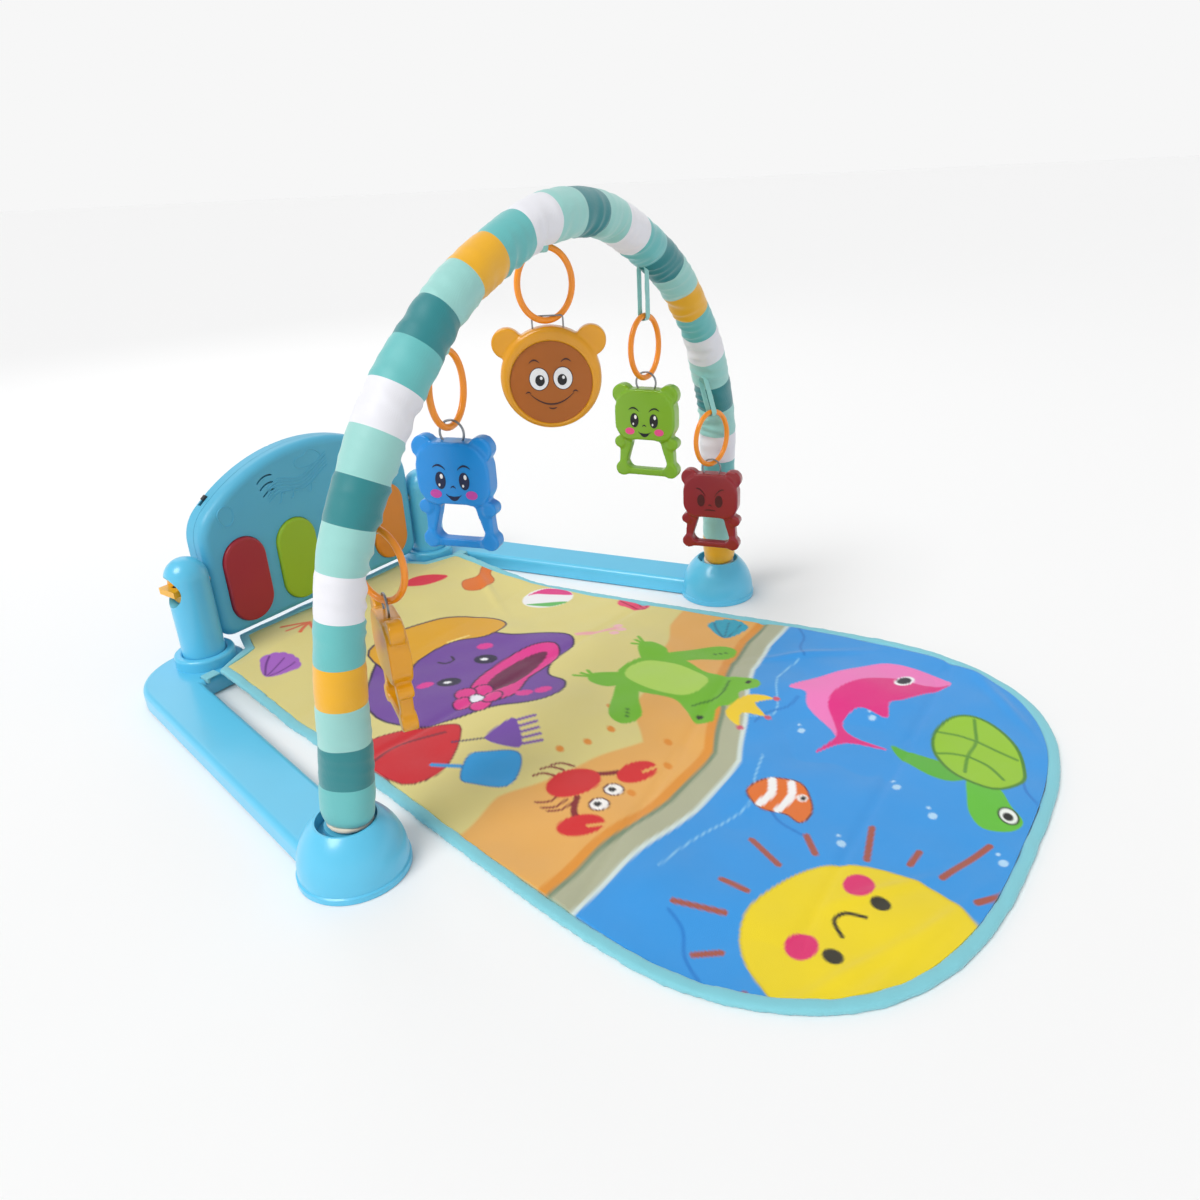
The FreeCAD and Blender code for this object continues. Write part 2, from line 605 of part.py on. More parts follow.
def panel_corners(inset):
    """The piano's front outline: flat bottom, upright sides, round shoulders and a wide crown."""
    half, low = "panel_half - %s" % inset, "panel_bottom + %s" % inset
    corner, shoulder = "panel_corner - %s" % inset, "panel_shoulder - %s" % inset
    crown = "%s - %s" % (CROWN, inset)
    share = "(%s) / (%s - panel_shoulder)" % (crown, CROWN)
    touch_x = "(%s) * (panel_half - panel_shoulder)" % share
    touch_z = "panel_top - (%s) + (%s) * (panel_side_top - panel_top + %s)" % (CROWN, share, CROWN)
    return [
        ("-panel_half + panel_corner", low),
        ("panel_half - panel_corner", low, corner), (half, "panel_bottom + panel_corner"),
        (half, "panel_side_top", shoulder), (touch_x, touch_z, crown),
        ("0", "panel_top - %s" % inset, crown), ("-(%s)" % touch_x, touch_z, shoulder),
        ("-(%s)" % half, "panel_side_top"), ("-(%s)" % half, "panel_bottom + panel_corner", corner)]


def rim_point(radial, along):
    """A place at the switch: radial is measured out from the rim, along is measured on the rim."""
    reach = "(%s + %s)" % (CROWN, radial)
    return ("%s * cos(switch_angle) - (%s) * sin(switch_angle)" % (reach, along),
            "panel_top - (%s) + %s * sin(switch_angle) + (%s) * cos(switch_angle)"
            % (CROWN, reach, along))


def rim_rectangle(sketch, low, high, start, end):
    return outline(sketch, [rim_point(low, start), rim_point(high, start), rim_point(high, end),
                            rim_point(low, end)])


def make_front_shell():
    shell = new_body("piano_front_shell")
    pad(shell, outline(new_sketch(shell, "plan", "XZ_Plane"), panel_corners("0")), "shell_depth")
    round_edges(shell, "case_round", on_plane("Y", "-shell_depth"))
    pocket(shell, outline(new_sketch(shell, "hollow", "XZ_Plane"), panel_corners("shell_wall")),
           "shell_depth - shell_wall", Reversed=True)
    round_edges(shell, "case_inner_round", on_plane("Y", "-shell_depth + shell_wall"))
    windows = new_sketch(shell, "key_windows", "XZ_Plane")
    for step in KEYS.values():
        stadium(windows, "key_width", "key_height", "%s * key_pitch" % step, "key_z")
    pocket(shell, windows, "2 * shell_depth", Reversed=True)
    grille = new_sketch(shell, "grille", "XZ_Plane")
    for step in (-1, 0, 1):
        level = "speaker_z + slot_rise + %s * slot_step" % step
        left, right = "-speaker_x - slot_reach - %s" % (2 * step), "-speaker_x + slot_reach"
        outline(grille, [(left, level + " - slot_sag"),
                         (left + " + slot_taper", level + " - slot_sag - slot_base", "-slot_low_curve"),
                         (right, level), (right, level + " + slot_end", "slot_high_curve")])
    pocket(shell, grille, "2 * shell_depth", Reversed=True)
    posts = new_sketch(shell, "screw_posts", "XZ_Plane")
    for x, z in SCREWS:
        circle(posts, "case_screw_post", x, z)
    pad(shell, posts, "shell_depth - shell_wall / 2")
    holes = new_sketch(shell, "screw_holes", "XZ_Plane")
    for x, z in SCREWS:
        circle(holes, "thread_hole", x, z)
    pocket(shell, holes, "case_screw_hole", Reversed=True)
    pins = new_sketch(shell, "pin_holes", "YZ_Plane")
    circle(pins, "pin_radius", "tilt_y - seam_y + seam_gap / 2", "tilt_z")
    pocket(shell, pins, "3 * panel_half", SideType="Symmetric")
    hand_over(place(shell, "0", "seam_y - seam_gap / 2", "0"))


def make_rear_shell():
    shell = new_body("piano_rear_shell")
    pad(shell, outline(new_sketch(shell, "plan", "XZ_Plane"), panel_corners("0")), "shell_depth",
        Reversed=True)
    round_edges(shell, "rear_round", on_plane("Y", "shell_depth"))
    pocket(shell, outline(new_sketch(shell, "hollow", "XZ_Plane"), panel_corners("shell_wall")),
           "shell_depth - shell_wall")
    window = new_sketch(shell, "battery_window", "XZ_Plane")
    rectangle(window, "door_width", "door_height", "cell_x", "cell_z")
    pocket(shell, window, "2 * shell_depth")
    holes = new_sketch(shell, "screw_holes", "XZ_Plane")
    for x, z in SCREWS:
        circle(holes, "clear_hole", x, z)
    pocket(shell, holes, "2 * shell_depth")
    slot = new_sketch(shell, "switch_slot", "XZ_Plane", "-switch_y + switch_width / 2")
    rim_rectangle(slot, "-2 * shell_wall", "3", "-switch_slot / 2", "switch_slot / 2")
    pocket(shell, slot, "switch_width")
    hand_over(place(shell, "0", "seam_y + seam_gap / 2", "0"))


def make_switch():
    """A small slider that pokes out through the rim, with a wider flange inside the wall."""
    slider = new_body("power_switch")
    middle = "-switch_slot / 4"
    knob = new_sketch(slider, "knob", "XZ_Plane", "-switch_y + switch_width / 2 - fit_gap")
    rim_rectangle(knob, "-2 * shell_wall", "switch_proud", middle + " - switch_length / 2",
                  middle + " + switch_length / 2")
    pad(slider, knob, "switch_width - 2 * fit_gap", Reversed=True)
    flange = new_sketch(slider, "flange", "XZ_Plane", "-switch_y + switch_width / 2 + 1")
    rim_rectangle(flange, "-2 * shell_wall", "-shell_wall - 0.4", middle + " - switch_length",
                  middle + " + switch_length")
    pad(slider, flange, "switch_width + 2", Reversed=True)
    hand_over(place(slider, "0", "seam_y + seam_gap / 2", "0"))


def make_keys():
    """Slot-shaped keys: proud of the case, held in by a flange behind its front wall."""
    for name, step in KEYS.items():
        key = new_body(name)
        cap = new_sketch(key, "cap", "XZ_Plane", "-fit_gap")
        stadium(cap, "key_width - 2 * key_gap", "key_height - 2 * key_gap", "0", "key_z")
        pad(key, cap, "fit_gap + shell_wall + key_proud")
        round_edges(key, "key_round", on_plane("Y", "-shell_wall - key_proud"))
        flange = new_sketch(key, "flange", "XZ_Plane", "-fit_gap")
        stadium(flange, "key_width + 2 * key_flange", "key_height + 2 * key_flange", "0", "key_z")
        pad(key, flange, "flange_thickness", Reversed=True)
        plunger = new_sketch(key, "plunger", "XZ_Plane", "-fit_gap")
        circle(plunger, "contact_radius - 1", "0", "key_z")
        pad(key, plunger, "flange_thickness + plunger_reach", Reversed=True)
        place(key, "%s * key_pitch" % step, "seam_y - seam_gap / 2 - shell_depth + shell_wall", "0")
        hand_over(key)


def make_electronics():
    board_y = "seam_y - seam_gap / 2 - shell_depth + board_y"
    board = box("circuit_board", "board_width", "board_thickness", "board_height",
                x="-board_width / 2", y=board_y, z="key_z - board_height / 2")
    hand_over(board)
    backwards = {"axis": Vec(1, 0, 0), "angle": 90}
    contacts = [cylinder("contact_%d" % number, "contact_radius", "contact_height",
                         x="%s * key_pitch" % step, y=board_y, z="key_z", **backwards)
                for number, step in enumerate(KEYS.values())]
    group("key_contact_pads", contacts)

    speaker_y = "seam_y - seam_gap / 2 - shell_depth + shell_wall + 0.2"
    spot = {"x": "-speaker_x", "z": "speaker_z"}
    frame = cylinder("speaker_frame", "speaker_radius", "speaker_depth / 3",
                     y=speaker_y + " + speaker_depth / 3", **spot, **backwards)
    magnet = cylinder("speaker_magnet", "speaker_radius / 2", "speaker_depth",
                      y=speaker_y + " + speaker_depth", **spot, **backwards)
    speaker = doc.addObject("Part::Fuse", "speaker")
    speaker.Base = frame
    speaker.Tool = magnet
    hand_over(speaker)

    tray = new_body("battery_tray")
    width, height = "door_width - tray_play_x", "door_height - tray_play_z"
    pad(tray, rectangle(new_sketch(tray, "plan", "XZ_Plane"), width, height, "cell_x", "cell_z"),
        "tray_depth", Reversed=True)
    pocket(tray, rectangle(new_sketch(tray, "hollow", "XZ_Plane", "-tray_wall"), width + " - 2 * tray_wall",
                           height + " - 2 * tray_wall", "cell_x", "cell_z"), "tray_depth")
    hand_over(place(tray, "0", "seam_y - tray_y", "0"))

    cells, contacts = [], []
    for step in (-1, 0, 1):
        level = "cell_z + %s * cell_pitch" % step
        spot = {"y": "seam_y + cell_y", "z": level}
        cells.append(cylinder("cell_%d" % (step + 1), "cell_radius", "cell_length",
                              x="cell_x + cell_length / 2", **spot, **TOWARDS_LEFT))
        for side in (-1, 1):
            x = "cell_x + %s * (cell_length / 2 + plate_reach) - plate_thickness / 2" % side
            contacts.append(box("contact_plate_%d%d" % (step + 1, side + 1), "plate_thickness",
                                "plate_width", "plate_height", x=x, y="seam_y",
                                z=level + " - plate_height / 2"))
    group("batteries", cells)
    group("battery_contacts", contacts)

    door = new_body("battery_door")
    rim = "seam_y + seam_gap / 2 + shell_depth - door_thickness"
    pad(door, rectangle(new_sketch(door, "plate", "XZ_Plane"), "door_width - 2 * fit_gap",
                        "door_height - 2 * fit_gap", "cell_x", "cell_z"),
        "door_thickness", Reversed=True)
    hand_over(place(door, "0", rim, "0"))

    screws = []
    rear = "seam_y + seam_gap / 2 + shell_depth"
    for number, (x, z) in enumerate(SCREWS):
        shank = cylinder("case_shank_%d" % number, "shank_radius", "shell_depth + case_screw_reach",
                         x=x, y=rear, z=z, **backwards)
        head = cylinder("case_head_%d" % number, "head_radius", "head_height", x=x,
                        y=rear + " + head_height", z=z, **backwards)
        screw = doc.addObject("Part::MultiFuse", "case_screw_%d" % number)
        screw.Shapes = [shank, head]
        screws.append(screw)
    group("piano_screws", screws)


# ---- mat --------------------------------------------------------------------------------------

MAT_SIDE = ((157, 294), (164, 205), (185, 59), (206, -56), (222, -157), (224, -228), (209, -279),
            (176, -325), (114, -357))


def mat_outline(inset):
    """Straight rear edge with cut corners, then one smooth curve down the side, round the far
    end and back up the other side. The inset moves every point inwards by that much."""
    rear, far = size("mat_rear_y") - inset, Vec(0, -size("footprint / 2") + inset, 0)
    side = []
    knots = [Vec(x, y, 0) for x, y in MAT_SIDE]
    for number, knot in enumerate(knots):
        before = knots[max(number - 1, 0)]
        after = (knots + [Vec(0, -size("footprint / 2"), 0)])[number + 1]
        along = (after - before).normalize()
        side.append(knot + Vec(along.y, -along.x, 0) * inset)
    curve = Part.BSplineCurve()
    curve.interpolate(side + [far] + [Vec(-p.x, p.y, 0) for p in reversed(side)])
    corner = Vec(size("mat_corner_x") - inset / 2, rear - size("mat_corner_cut"), 0)
    end = Vec(size("mat_rear_x") - inset / 2, rear, 0)
    corners = [Vec(-side[0].x, side[0].y, 0), Vec(-corner.x, corner.y, 0), Vec(-end.x, end.y, 0),
               end, corner, side[0]]
    straight = [Part.LineSegment(a, b).toShape() for a, b in zip(corners, corners[1:])]
    return Part.Wire([curve.toShape()] + straight)


def mat_profile():
    """The mat seen from the side, as wide as the footprint: flat, then lifted over the elbows."""
    reach, thick = size("footprint"), size("mat_thickness")
    start, end, lift = size("mat_rise_start"), size("mat_rise_end"), size("mat_rear_lift")
    low = [(-reach, 0), (start, 0), (end, lift), (reach, lift)]
    corners = low + [(y, z + thick) for y, z in reversed(low)]
    points = [Vec(-reach / 2, y, z) for y, z in corners]
    return Part.Face(Part.makePolygon(points + points[:1])).extrude(Vec(reach, 0, 0))


def make_mat():
    outer, inner = mat_outline(0), mat_outline(size("binding_width"))
    whole = Part.Face(outer).extrude(Vec(0, 0, size("post_height"))).common(mat_profile())
    middle = Part.Face(inner).extrude(Vec(0, 0, size("post_height")))
    shape_part("mat", whole.common(middle).Solids[0])
    shape_part("mat_binding", whole.cut(middle).Solids[0])
    for side, sign in (("left", ""), ("right", "-")):
        tongue = box(side + "_tongue", "tongue_length", "slot_length - 2", "tongue_thickness",
                     x="%s(-slot_x - 1) %s" % (sign, "" if side == "left" else "- tongue_length"),
                     y="slot_y - slot_length / 2 + 1", z="arm_top + tongue_lift")
        tab = box(side + "_tab", "slot_width - 1", "slot_length - 2", "tab_height",
                  x="%s(-slot_x) - slot_width / 2 + 0.5" % sign,
                  y="slot_y - slot_length / 2 + 1", z="arm_top + tab_rise - tab_height")
        strap = doc.addObject("Part::Fuse", side + "_mat_strap")
        strap.Base = tongue
        strap.Tool = tab
        hand_over(strap)


# ---- hanging rings and toys -------------------------------------------------------------------

def facing(toy, which, height):
    """A placement on the toy's hanging line, turned so that -Y faces the toy's own way."""
    turn = FreeCAD.Rotation(Z_UP, toy[which] - 90)
    return FreeCAD.Placement(Vec(toy["x"], toy["y"], height), turn)


def ring_shape():
    """An upright oval bent from round bar."""
    bar = size("ring_bar")
    top = Vec(0, 0, size("ring_half_height"))
    oval = Part.Ellipse(top, Vec(size("ring_half_width"), 0, 0), Vec(0, 0, 0))
    section = Part.Wire(Part.Circle(top, Vec(1, 0, 0), bar).toShape())
    return Part.Wire(oval.toShape()).makePipeShell([section], True, False)


def long_loop(start, end, radius):
    """A slot-shaped face in the YZ plane whose round ends are centred on start and end."""
    along = (end - start).normalize()
    side = Vec(0, -along.z, along.y) * radius
    ends = Part.Arc(start + side, start - along * radius, start - side).toShape(), \
        Part.Arc(end - side, end + along * radius, end + side).toShape()
    sides = Part.LineSegment(start - side, end - side).toShape(), \
        Part.LineSegment(end + side, start + side).toShape()
    return Part.Face(Part.Wire([ends[0], sides[0], ends[1], sides[1]]))


def make_hangers(line):
    """For each toy the ring and its webbing strap, which ends where it meets the sleeve."""
    bar, half_height = size("ring_bar"), size("ring_half_height")
    width, inner = size("strap_width"), bar + size("strap_gap")
    start = size("sleeve_start")
    sleeve = line.tube(start, 2 * line.half - start, size("sleeve_radius"))
    straps = []
    for name, toy in TOYS.items():
        spot = facing(toy, "ring_turn", toy["ring_low"] + bar + half_height)
        shape_part("ring_" + name, ring_shape(), spot)
        low = Vec(0, 0, half_height)
        root = spot.inverse().multVec(Vec(*toy["strap_root"]))
        high = Vec(0, root.y, root.z)
        band = long_loop(low, high, inner + size("strap_thickness")).cut(long_loop(low, high, inner))
        strap = band.Faces[0].extrude(Vec(width, 0, 0))
        strap.translate(Vec(-width / 2, 0, 0))
        item = doc.addObject("Part::Feature", "strap_" + name)
        outside = sleeve.copy()
        outside.Placement = spot.inverse() * arch_placement()
        hanging = min(strap.cut(outside).Solids, key=lambda piece: piece.BoundBox.ZMin)
        if hanging.Volume > strap.Volume - 1:
            raise ValueError("the strap misses the sleeve: " + name)
        item.Shape = hanging
        item.Placement = spot
        straps.append(item)
    group("hang_straps", straps)


def make_teether(name, toy):
    """A flat bear: squarish round head, two ears and a handle with bumps for paws and feet."""
    bear = new_body("bear_" + name)
    head = new_sketch(bear, "head", "XZ_Plane")
    soft_outline(head, ("head_half", "-head_base", "cheek_round"), ("head_half", "-head_top", "head_round"))
    pad(bear, head, "bear_depth", SideType="Symmetric")
    ears = new_sketch(bear, "ears", "XZ_Plane")
    circle(ears, "bear_ear", "-bear_ear_x", "-bear_ear_z")
    circle(ears, "bear_ear", "bear_ear_x", "-bear_ear_z")
    pad(bear, ears, "ear_depth", SideType="Symmetric")
    handle = new_sketch(bear, "handle", "XZ_Plane")
    soft_outline(handle, ("handle_base_half", "-handle_base", "handle_round"),
                 ("handle_top_half", "-head_base + cheek_round", "fit_gap"))
    pad(bear, handle, "handle_depth", SideType="Symmetric")
    limbs = new_sketch(bear, "limbs", "XZ_Plane")
    for x, z, radius in (("paw_x", "-paw_z", "paw_radius"),
                         ("shoe_x", "-bear_height + shoe_radius", "shoe_radius")):
        circle(limbs, radius, "-" + x, z)
        circle(limbs, radius, x, z)
    pad(bear, limbs, "limb_depth", SideType="Symmetric")
    opening = new_sketch(bear, "opening", "XZ_Plane")
    soft_outline(opening, ("hole_base_half", "-hole_base", "hole_round"),
                 ("hole_top_half", "-hole_top", "hole_round"))
    pocket(bear, opening, "2 * bear_depth", SideType="Symmetric")
    spot = facing(toy, "toy_turn", toy["ring_low"] + size("ring_bar - loop_drop"))
    bear.Placement = spot
    hand_over(bear)

    loop = doc.addObject("Part::Torus", "loop_" + name)
    bind(loop, Radius1="loop_radius", Radius2="loop_wire")
    loop.Placement = spot * FreeCAD.Placement(Vec(), FreeCAD.Rotation(Vec(1, 0, 0), 90))
    hand_over(loop)


def make_face_toy(toy):
    """The middle toy: a round bear-head case, a face disc in its front, a cover behind it and a
    thin wire bracket on top."""
    spot = facing(toy, "toy_turn", toy["ring_low"] + size("ring_bar - case_drop"))
    case = new_body("face_case")
    pad(case, circle(new_sketch(case, "head", "XZ_Plane"), "face_radius", "0", "-face_radius"),
        "face_depth", SideType="Symmetric")
    round_edges(case, "face_round", on_plane("Y", "-face_depth / 2"))
    ears = new_sketch(case, "ears", "XZ_Plane")
    circle(ears, "face_ear", "-face_ear_x", "-face_ear_z")
    circle(ears, "face_ear", "face_ear_x", "-face_ear_z")
    pad(case, ears, "face_ear_depth", SideType="Symmetric")
    recess = new_sketch(case, "recess", "XZ_Plane", "face_depth / 2")
    circle(recess, "disc_radius + fit_gap", "0", "-face_radius - disc_drop")
    pocket(case, recess, "disc_thickness + recess_play")
    hollow = new_sketch(case, "hollow", "XZ_Plane", "-face_depth / 2")
    circle(hollow, "disc_radius + fit_gap", "0", "-face_radius")
    pocket(case, hollow, "face_depth - disc_thickness - face_middle", Reversed=True)
    case.Placement = spot
    hand_over(case)

    disc = new_body("face_disc")
    pad(disc, circle(new_sketch(disc, "disc", "XZ_Plane", "face_depth / 2 - disc_thickness - disc_set_back"),
                     "disc_radius", "0", "-face_radius - disc_drop"), "disc_thickness")
    disc.Placement = spot
    hand_over(disc)

    cover = new_body("face_back")
    pad(cover, circle(new_sketch(cover, "cover", "XZ_Plane", "-face_depth / 2"),
                      "disc_radius", "0", "-face_radius"), "disc_thickness")
    cover.Placement = spot
    hand_over(cover)

    half, wire = size("bracket_width / 2"), size("bracket_wire")
    top, bottom, bend = size("bracket_height"), -size("bracket_root"), size("bracket_bend")
    corner = bend * (1 - math.sqrt(0.5))
    path = Part.Wire([
        Part.LineSegment(Vec(-half, 0, bottom), Vec(-half, 0, top - bend)).toShape(),
        Part.Arc(Vec(-half, 0, top - bend), Vec(-half + corner, 0, top - corner),
                 Vec(-half + bend, 0, top)).toShape(),
        Part.LineSegment(Vec(-half + bend, 0, top), Vec(half - bend, 0, top)).toShape(),
        Part.Arc(Vec(half - bend, 0, top), Vec(half - corner, 0, top - corner),
                 Vec(half, 0, top - bend)).toShape(),
        Part.LineSegment(Vec(half, 0, top - bend), Vec(half, 0, bottom)).toShape()])
    section = Part.Wire(Part.Circle(Vec(-half, 0, bottom), Z_UP, wire).toShape())
    shape_part("face_bracket", path.makePipeShell([section], True, False), spot)


def check_and_write():
    doc.recompute()
    for item in doc.Objects:
        if "Invalid" in item.State or "Error" in item.State:
            raise ValueError("%s: %s" % (item.Name, item.State))
    os.makedirs("parts", exist_ok=True)
    for piece in handed_over:
        if piece.Shape.isNull() or not piece.Shape.isValid():
            raise ValueError("bad shape: " + piece.Label)
        piece.Shape.exportStep(os.path.join("parts", piece.Label + ".step"))


make_arms()
make_domes()
arch_line = ArchLine()
make_arch(arch_line)
make_posts()
make_tilt_pins()
make_knobs()
make_front_shell()
make_rear_shell()
make_switch()
make_keys()
make_electronics()
make_mat()
make_hangers(arch_line)
for colour in ("yellow", "blue", "green", "red"):
    make_teether(colour, TOYS[colour])
make_face_toy(TOYS["mirror"])
check_and_write()
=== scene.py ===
import json
import math

import bpy
import numpy as np
from mathutils import Matrix, Vector


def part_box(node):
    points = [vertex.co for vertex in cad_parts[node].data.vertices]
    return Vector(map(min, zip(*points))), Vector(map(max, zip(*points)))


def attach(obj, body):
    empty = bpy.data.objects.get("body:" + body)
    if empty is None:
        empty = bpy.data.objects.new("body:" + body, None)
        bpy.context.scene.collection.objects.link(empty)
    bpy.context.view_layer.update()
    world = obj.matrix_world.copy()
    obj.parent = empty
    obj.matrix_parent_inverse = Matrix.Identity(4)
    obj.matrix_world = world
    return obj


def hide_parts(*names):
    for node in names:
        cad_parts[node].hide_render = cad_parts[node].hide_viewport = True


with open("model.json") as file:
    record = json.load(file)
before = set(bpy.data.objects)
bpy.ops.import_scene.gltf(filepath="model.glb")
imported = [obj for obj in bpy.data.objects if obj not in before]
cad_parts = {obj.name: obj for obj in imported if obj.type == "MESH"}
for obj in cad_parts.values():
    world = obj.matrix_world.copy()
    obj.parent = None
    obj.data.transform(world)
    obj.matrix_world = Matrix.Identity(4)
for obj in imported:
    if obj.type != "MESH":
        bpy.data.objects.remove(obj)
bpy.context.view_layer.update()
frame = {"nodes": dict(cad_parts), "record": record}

MM = 0.001
SEED = 7

# The view: where the camera stands, which way it looks, its roll (radians) and its lens (mm).
CAMERA_PLACE = (-0.54751, -0.42991, 0.42428)
CAMERA_LOOK, CAMERA_ROLL = (0.74089, 0.53416, -0.40714), -0.0471
LENS, SENSOR_WIDTH, LENS_SHIFT = 28.02, 36, (-0.0118, -0.0182)

# The arch's centre line, repeated from the part's own sizes (metres and degrees).
HALF_SPAN, FOOT_Y, ARCH_LEAN = 0.2518, 0.010, 2.95
LEG_ANGLE, LEG_HEIGHT, SHOULDER_RADIUS, SHOULDER_END = 5.1, 0.150, 0.275, 73
SLEEVE_START, SLEEVE_RADIUS = 0.041, 0.017

# The way each toy faces (degrees from -X towards -Y), and how far the top of its head hangs below
# its hinge.
# BEAR_FRONT and CASE_FRONT are how far their faces stand out from the hinge (mm).
TOY_TURNS = {"yellow": 150, "blue": 18, "mirror": 36, "green": 12, "red": 15}
BEAR_DROP, CASE_DROP = 0.0043, 0.0036
BEAR_FRONT, CASE_FRONT = 7.0, 5.5

# The sleeve's bands, from the left foot to the right one.
STRIPES = ("aqua dark mint yellow aqua white mint dark mint white aqua dark mint yellow aqua white mint "
           "dark mint white aqua dark mint yellow aqua white mint dark mint white "
           "aqua dark mint yellow").split()
ROWS_PER_STRIPE, SLEEVE_SIDES = 20, 84

# How deep the sleeve's wrinkles are on its legs, how much deeper inside the bend, the depth of its
# slack waves and seams, and how far its ends are gathered in.
WRINKLE, BEND_WRINKLE, SLACK, SEAM, GATHER = 0.0004, 0.0015, 0.0011, 0.0003, 0.0016

# The mat: the stretch of Y where it climbs over the arms' elbows, how far it climbs, the levels of
# its two faces where it lies on the floor, and its grid.
MAT_RISE, MAT_REAR_LIFT, MAT_TOP, MAT_UNDER = (0.190, 0.288), 0.0176, 0.0043, 0.0002
MAT_ROWS, MAT_COLUMNS = 470, 300


# ---- camera, floor and light ------------------------------------------------------------------

def make_camera():
    """A perspective camera, fitted to the view and turned level apart from a slight roll."""
    look = Vector(CAMERA_LOOK).normalized()
    level = look.cross(Vector((0, 0, 1))).normalized()
    upright = level.cross(look)
    right = level * math.cos(CAMERA_ROLL) + upright * math.sin(CAMERA_ROLL)
    up = upright * math.cos(CAMERA_ROLL) - level * math.sin(CAMERA_ROLL)
    data = bpy.data.cameras.new("camera")
    data.sensor_width, data.lens = SENSOR_WIDTH, LENS
    data.shift_x, data.shift_y = LENS_SHIFT
    data.clip_start, data.clip_end = 0.01, 20
    camera = bpy.data.objects.new("camera", data)
    turn = Matrix((right, up, -look)).transposed().to_4x4()
    camera.matrix_world = Matrix.Translation(CAMERA_PLACE) @ turn
    bpy.context.collection.objects.link(camera)
    bpy.context.scene.camera = camera


def hang_light(data, place, towards):
    """A light at a place, shining along the direction towards."""
    light = bpy.data.objects.new(data.name, data)
    light.location = place
    light.rotation_euler = towards.to_track_quat("-Z", "Y").to_euler()
    bpy.context.collection.objects.link(light)


def make_lights():
    """A wide soft sun for even shading, and a weak panel behind for the far edges."""
    sun = bpy.data.lights.new("soft_sun", "SUN")
    sun.energy, sun.angle = 1.85, math.radians(30)
    hang_light(sun, (0, 0, 0), Vector((0.75, -0.1, -1)))
    panel = bpy.data.lights.new("back_light", "AREA")
    panel.energy, panel.size = 4, 1.2
    place, target = Vector((0.6, 1.6, 1.3)), Vector((0, 0, 0.15))
    hang_light(panel, place, target - place)


def make_studio():
    """White floor, sky and lights, with no change of tone afterwards."""
    bpy.ops.mesh.primitive_plane_add(size=90, location=(0, 0, -0.0004))
    floor = bpy.context.object
    floor.name = "floor"
    paint = bpy.data.materials.new("floor_white")
    paint.use_nodes = True
    shader = paint.node_tree.nodes["Principled BSDF"]
    shader.inputs["Base Color"].default_value = (0.93, 0.93, 0.93, 1)
    shader.inputs["Roughness"].default_value = 0.8
    floor.data.materials.append(paint)
    make_sky()
    make_lights()
    bpy.context.scene.view_settings.view_transform = "Standard"


def make_sky():
    """A plain studio: white near the horizon, dimmer overhead so that round things show shading."""
    world = bpy.data.worlds.new("studio")
    world.use_nodes = True
    nodes, links = world.node_tree.nodes, world.node_tree.links
    direction = nodes.new("ShaderNodeTexCoord")
    split = nodes.new("ShaderNodeSeparateXYZ")
    ramp = nodes.new("ShaderNodeMapRange")
    ramp.interpolation_type = "SMOOTHSTEP"
    for name, value in (("From Min", 0.16), ("From Max", 0.4), ("To Min", 0.93), ("To Max", 0.5)):
        ramp.inputs[name].default_value = value
    links.new(direction.outputs["Generated"], split.inputs[0])
    links.new(split.outputs["Z"], ramp.inputs["Value"])
    links.new(ramp.outputs["Result"], nodes["Background"].inputs["Strength"])
    nodes["Background"].inputs["Color"].default_value = (1, 1, 1, 1)
    bpy.context.scene.world = world


# ---- materials --------------------------------------------------------------------------------

def linear(rgb):
    """A colour given as 0-255 sRGB, in linear light with an alpha of 1."""
    part = [c / 255 for c in rgb]
    return tuple(c / 12.92 if c <= 0.04045 else ((c + 0.055) / 1.055) ** 2.4 for c in part) + (1,)


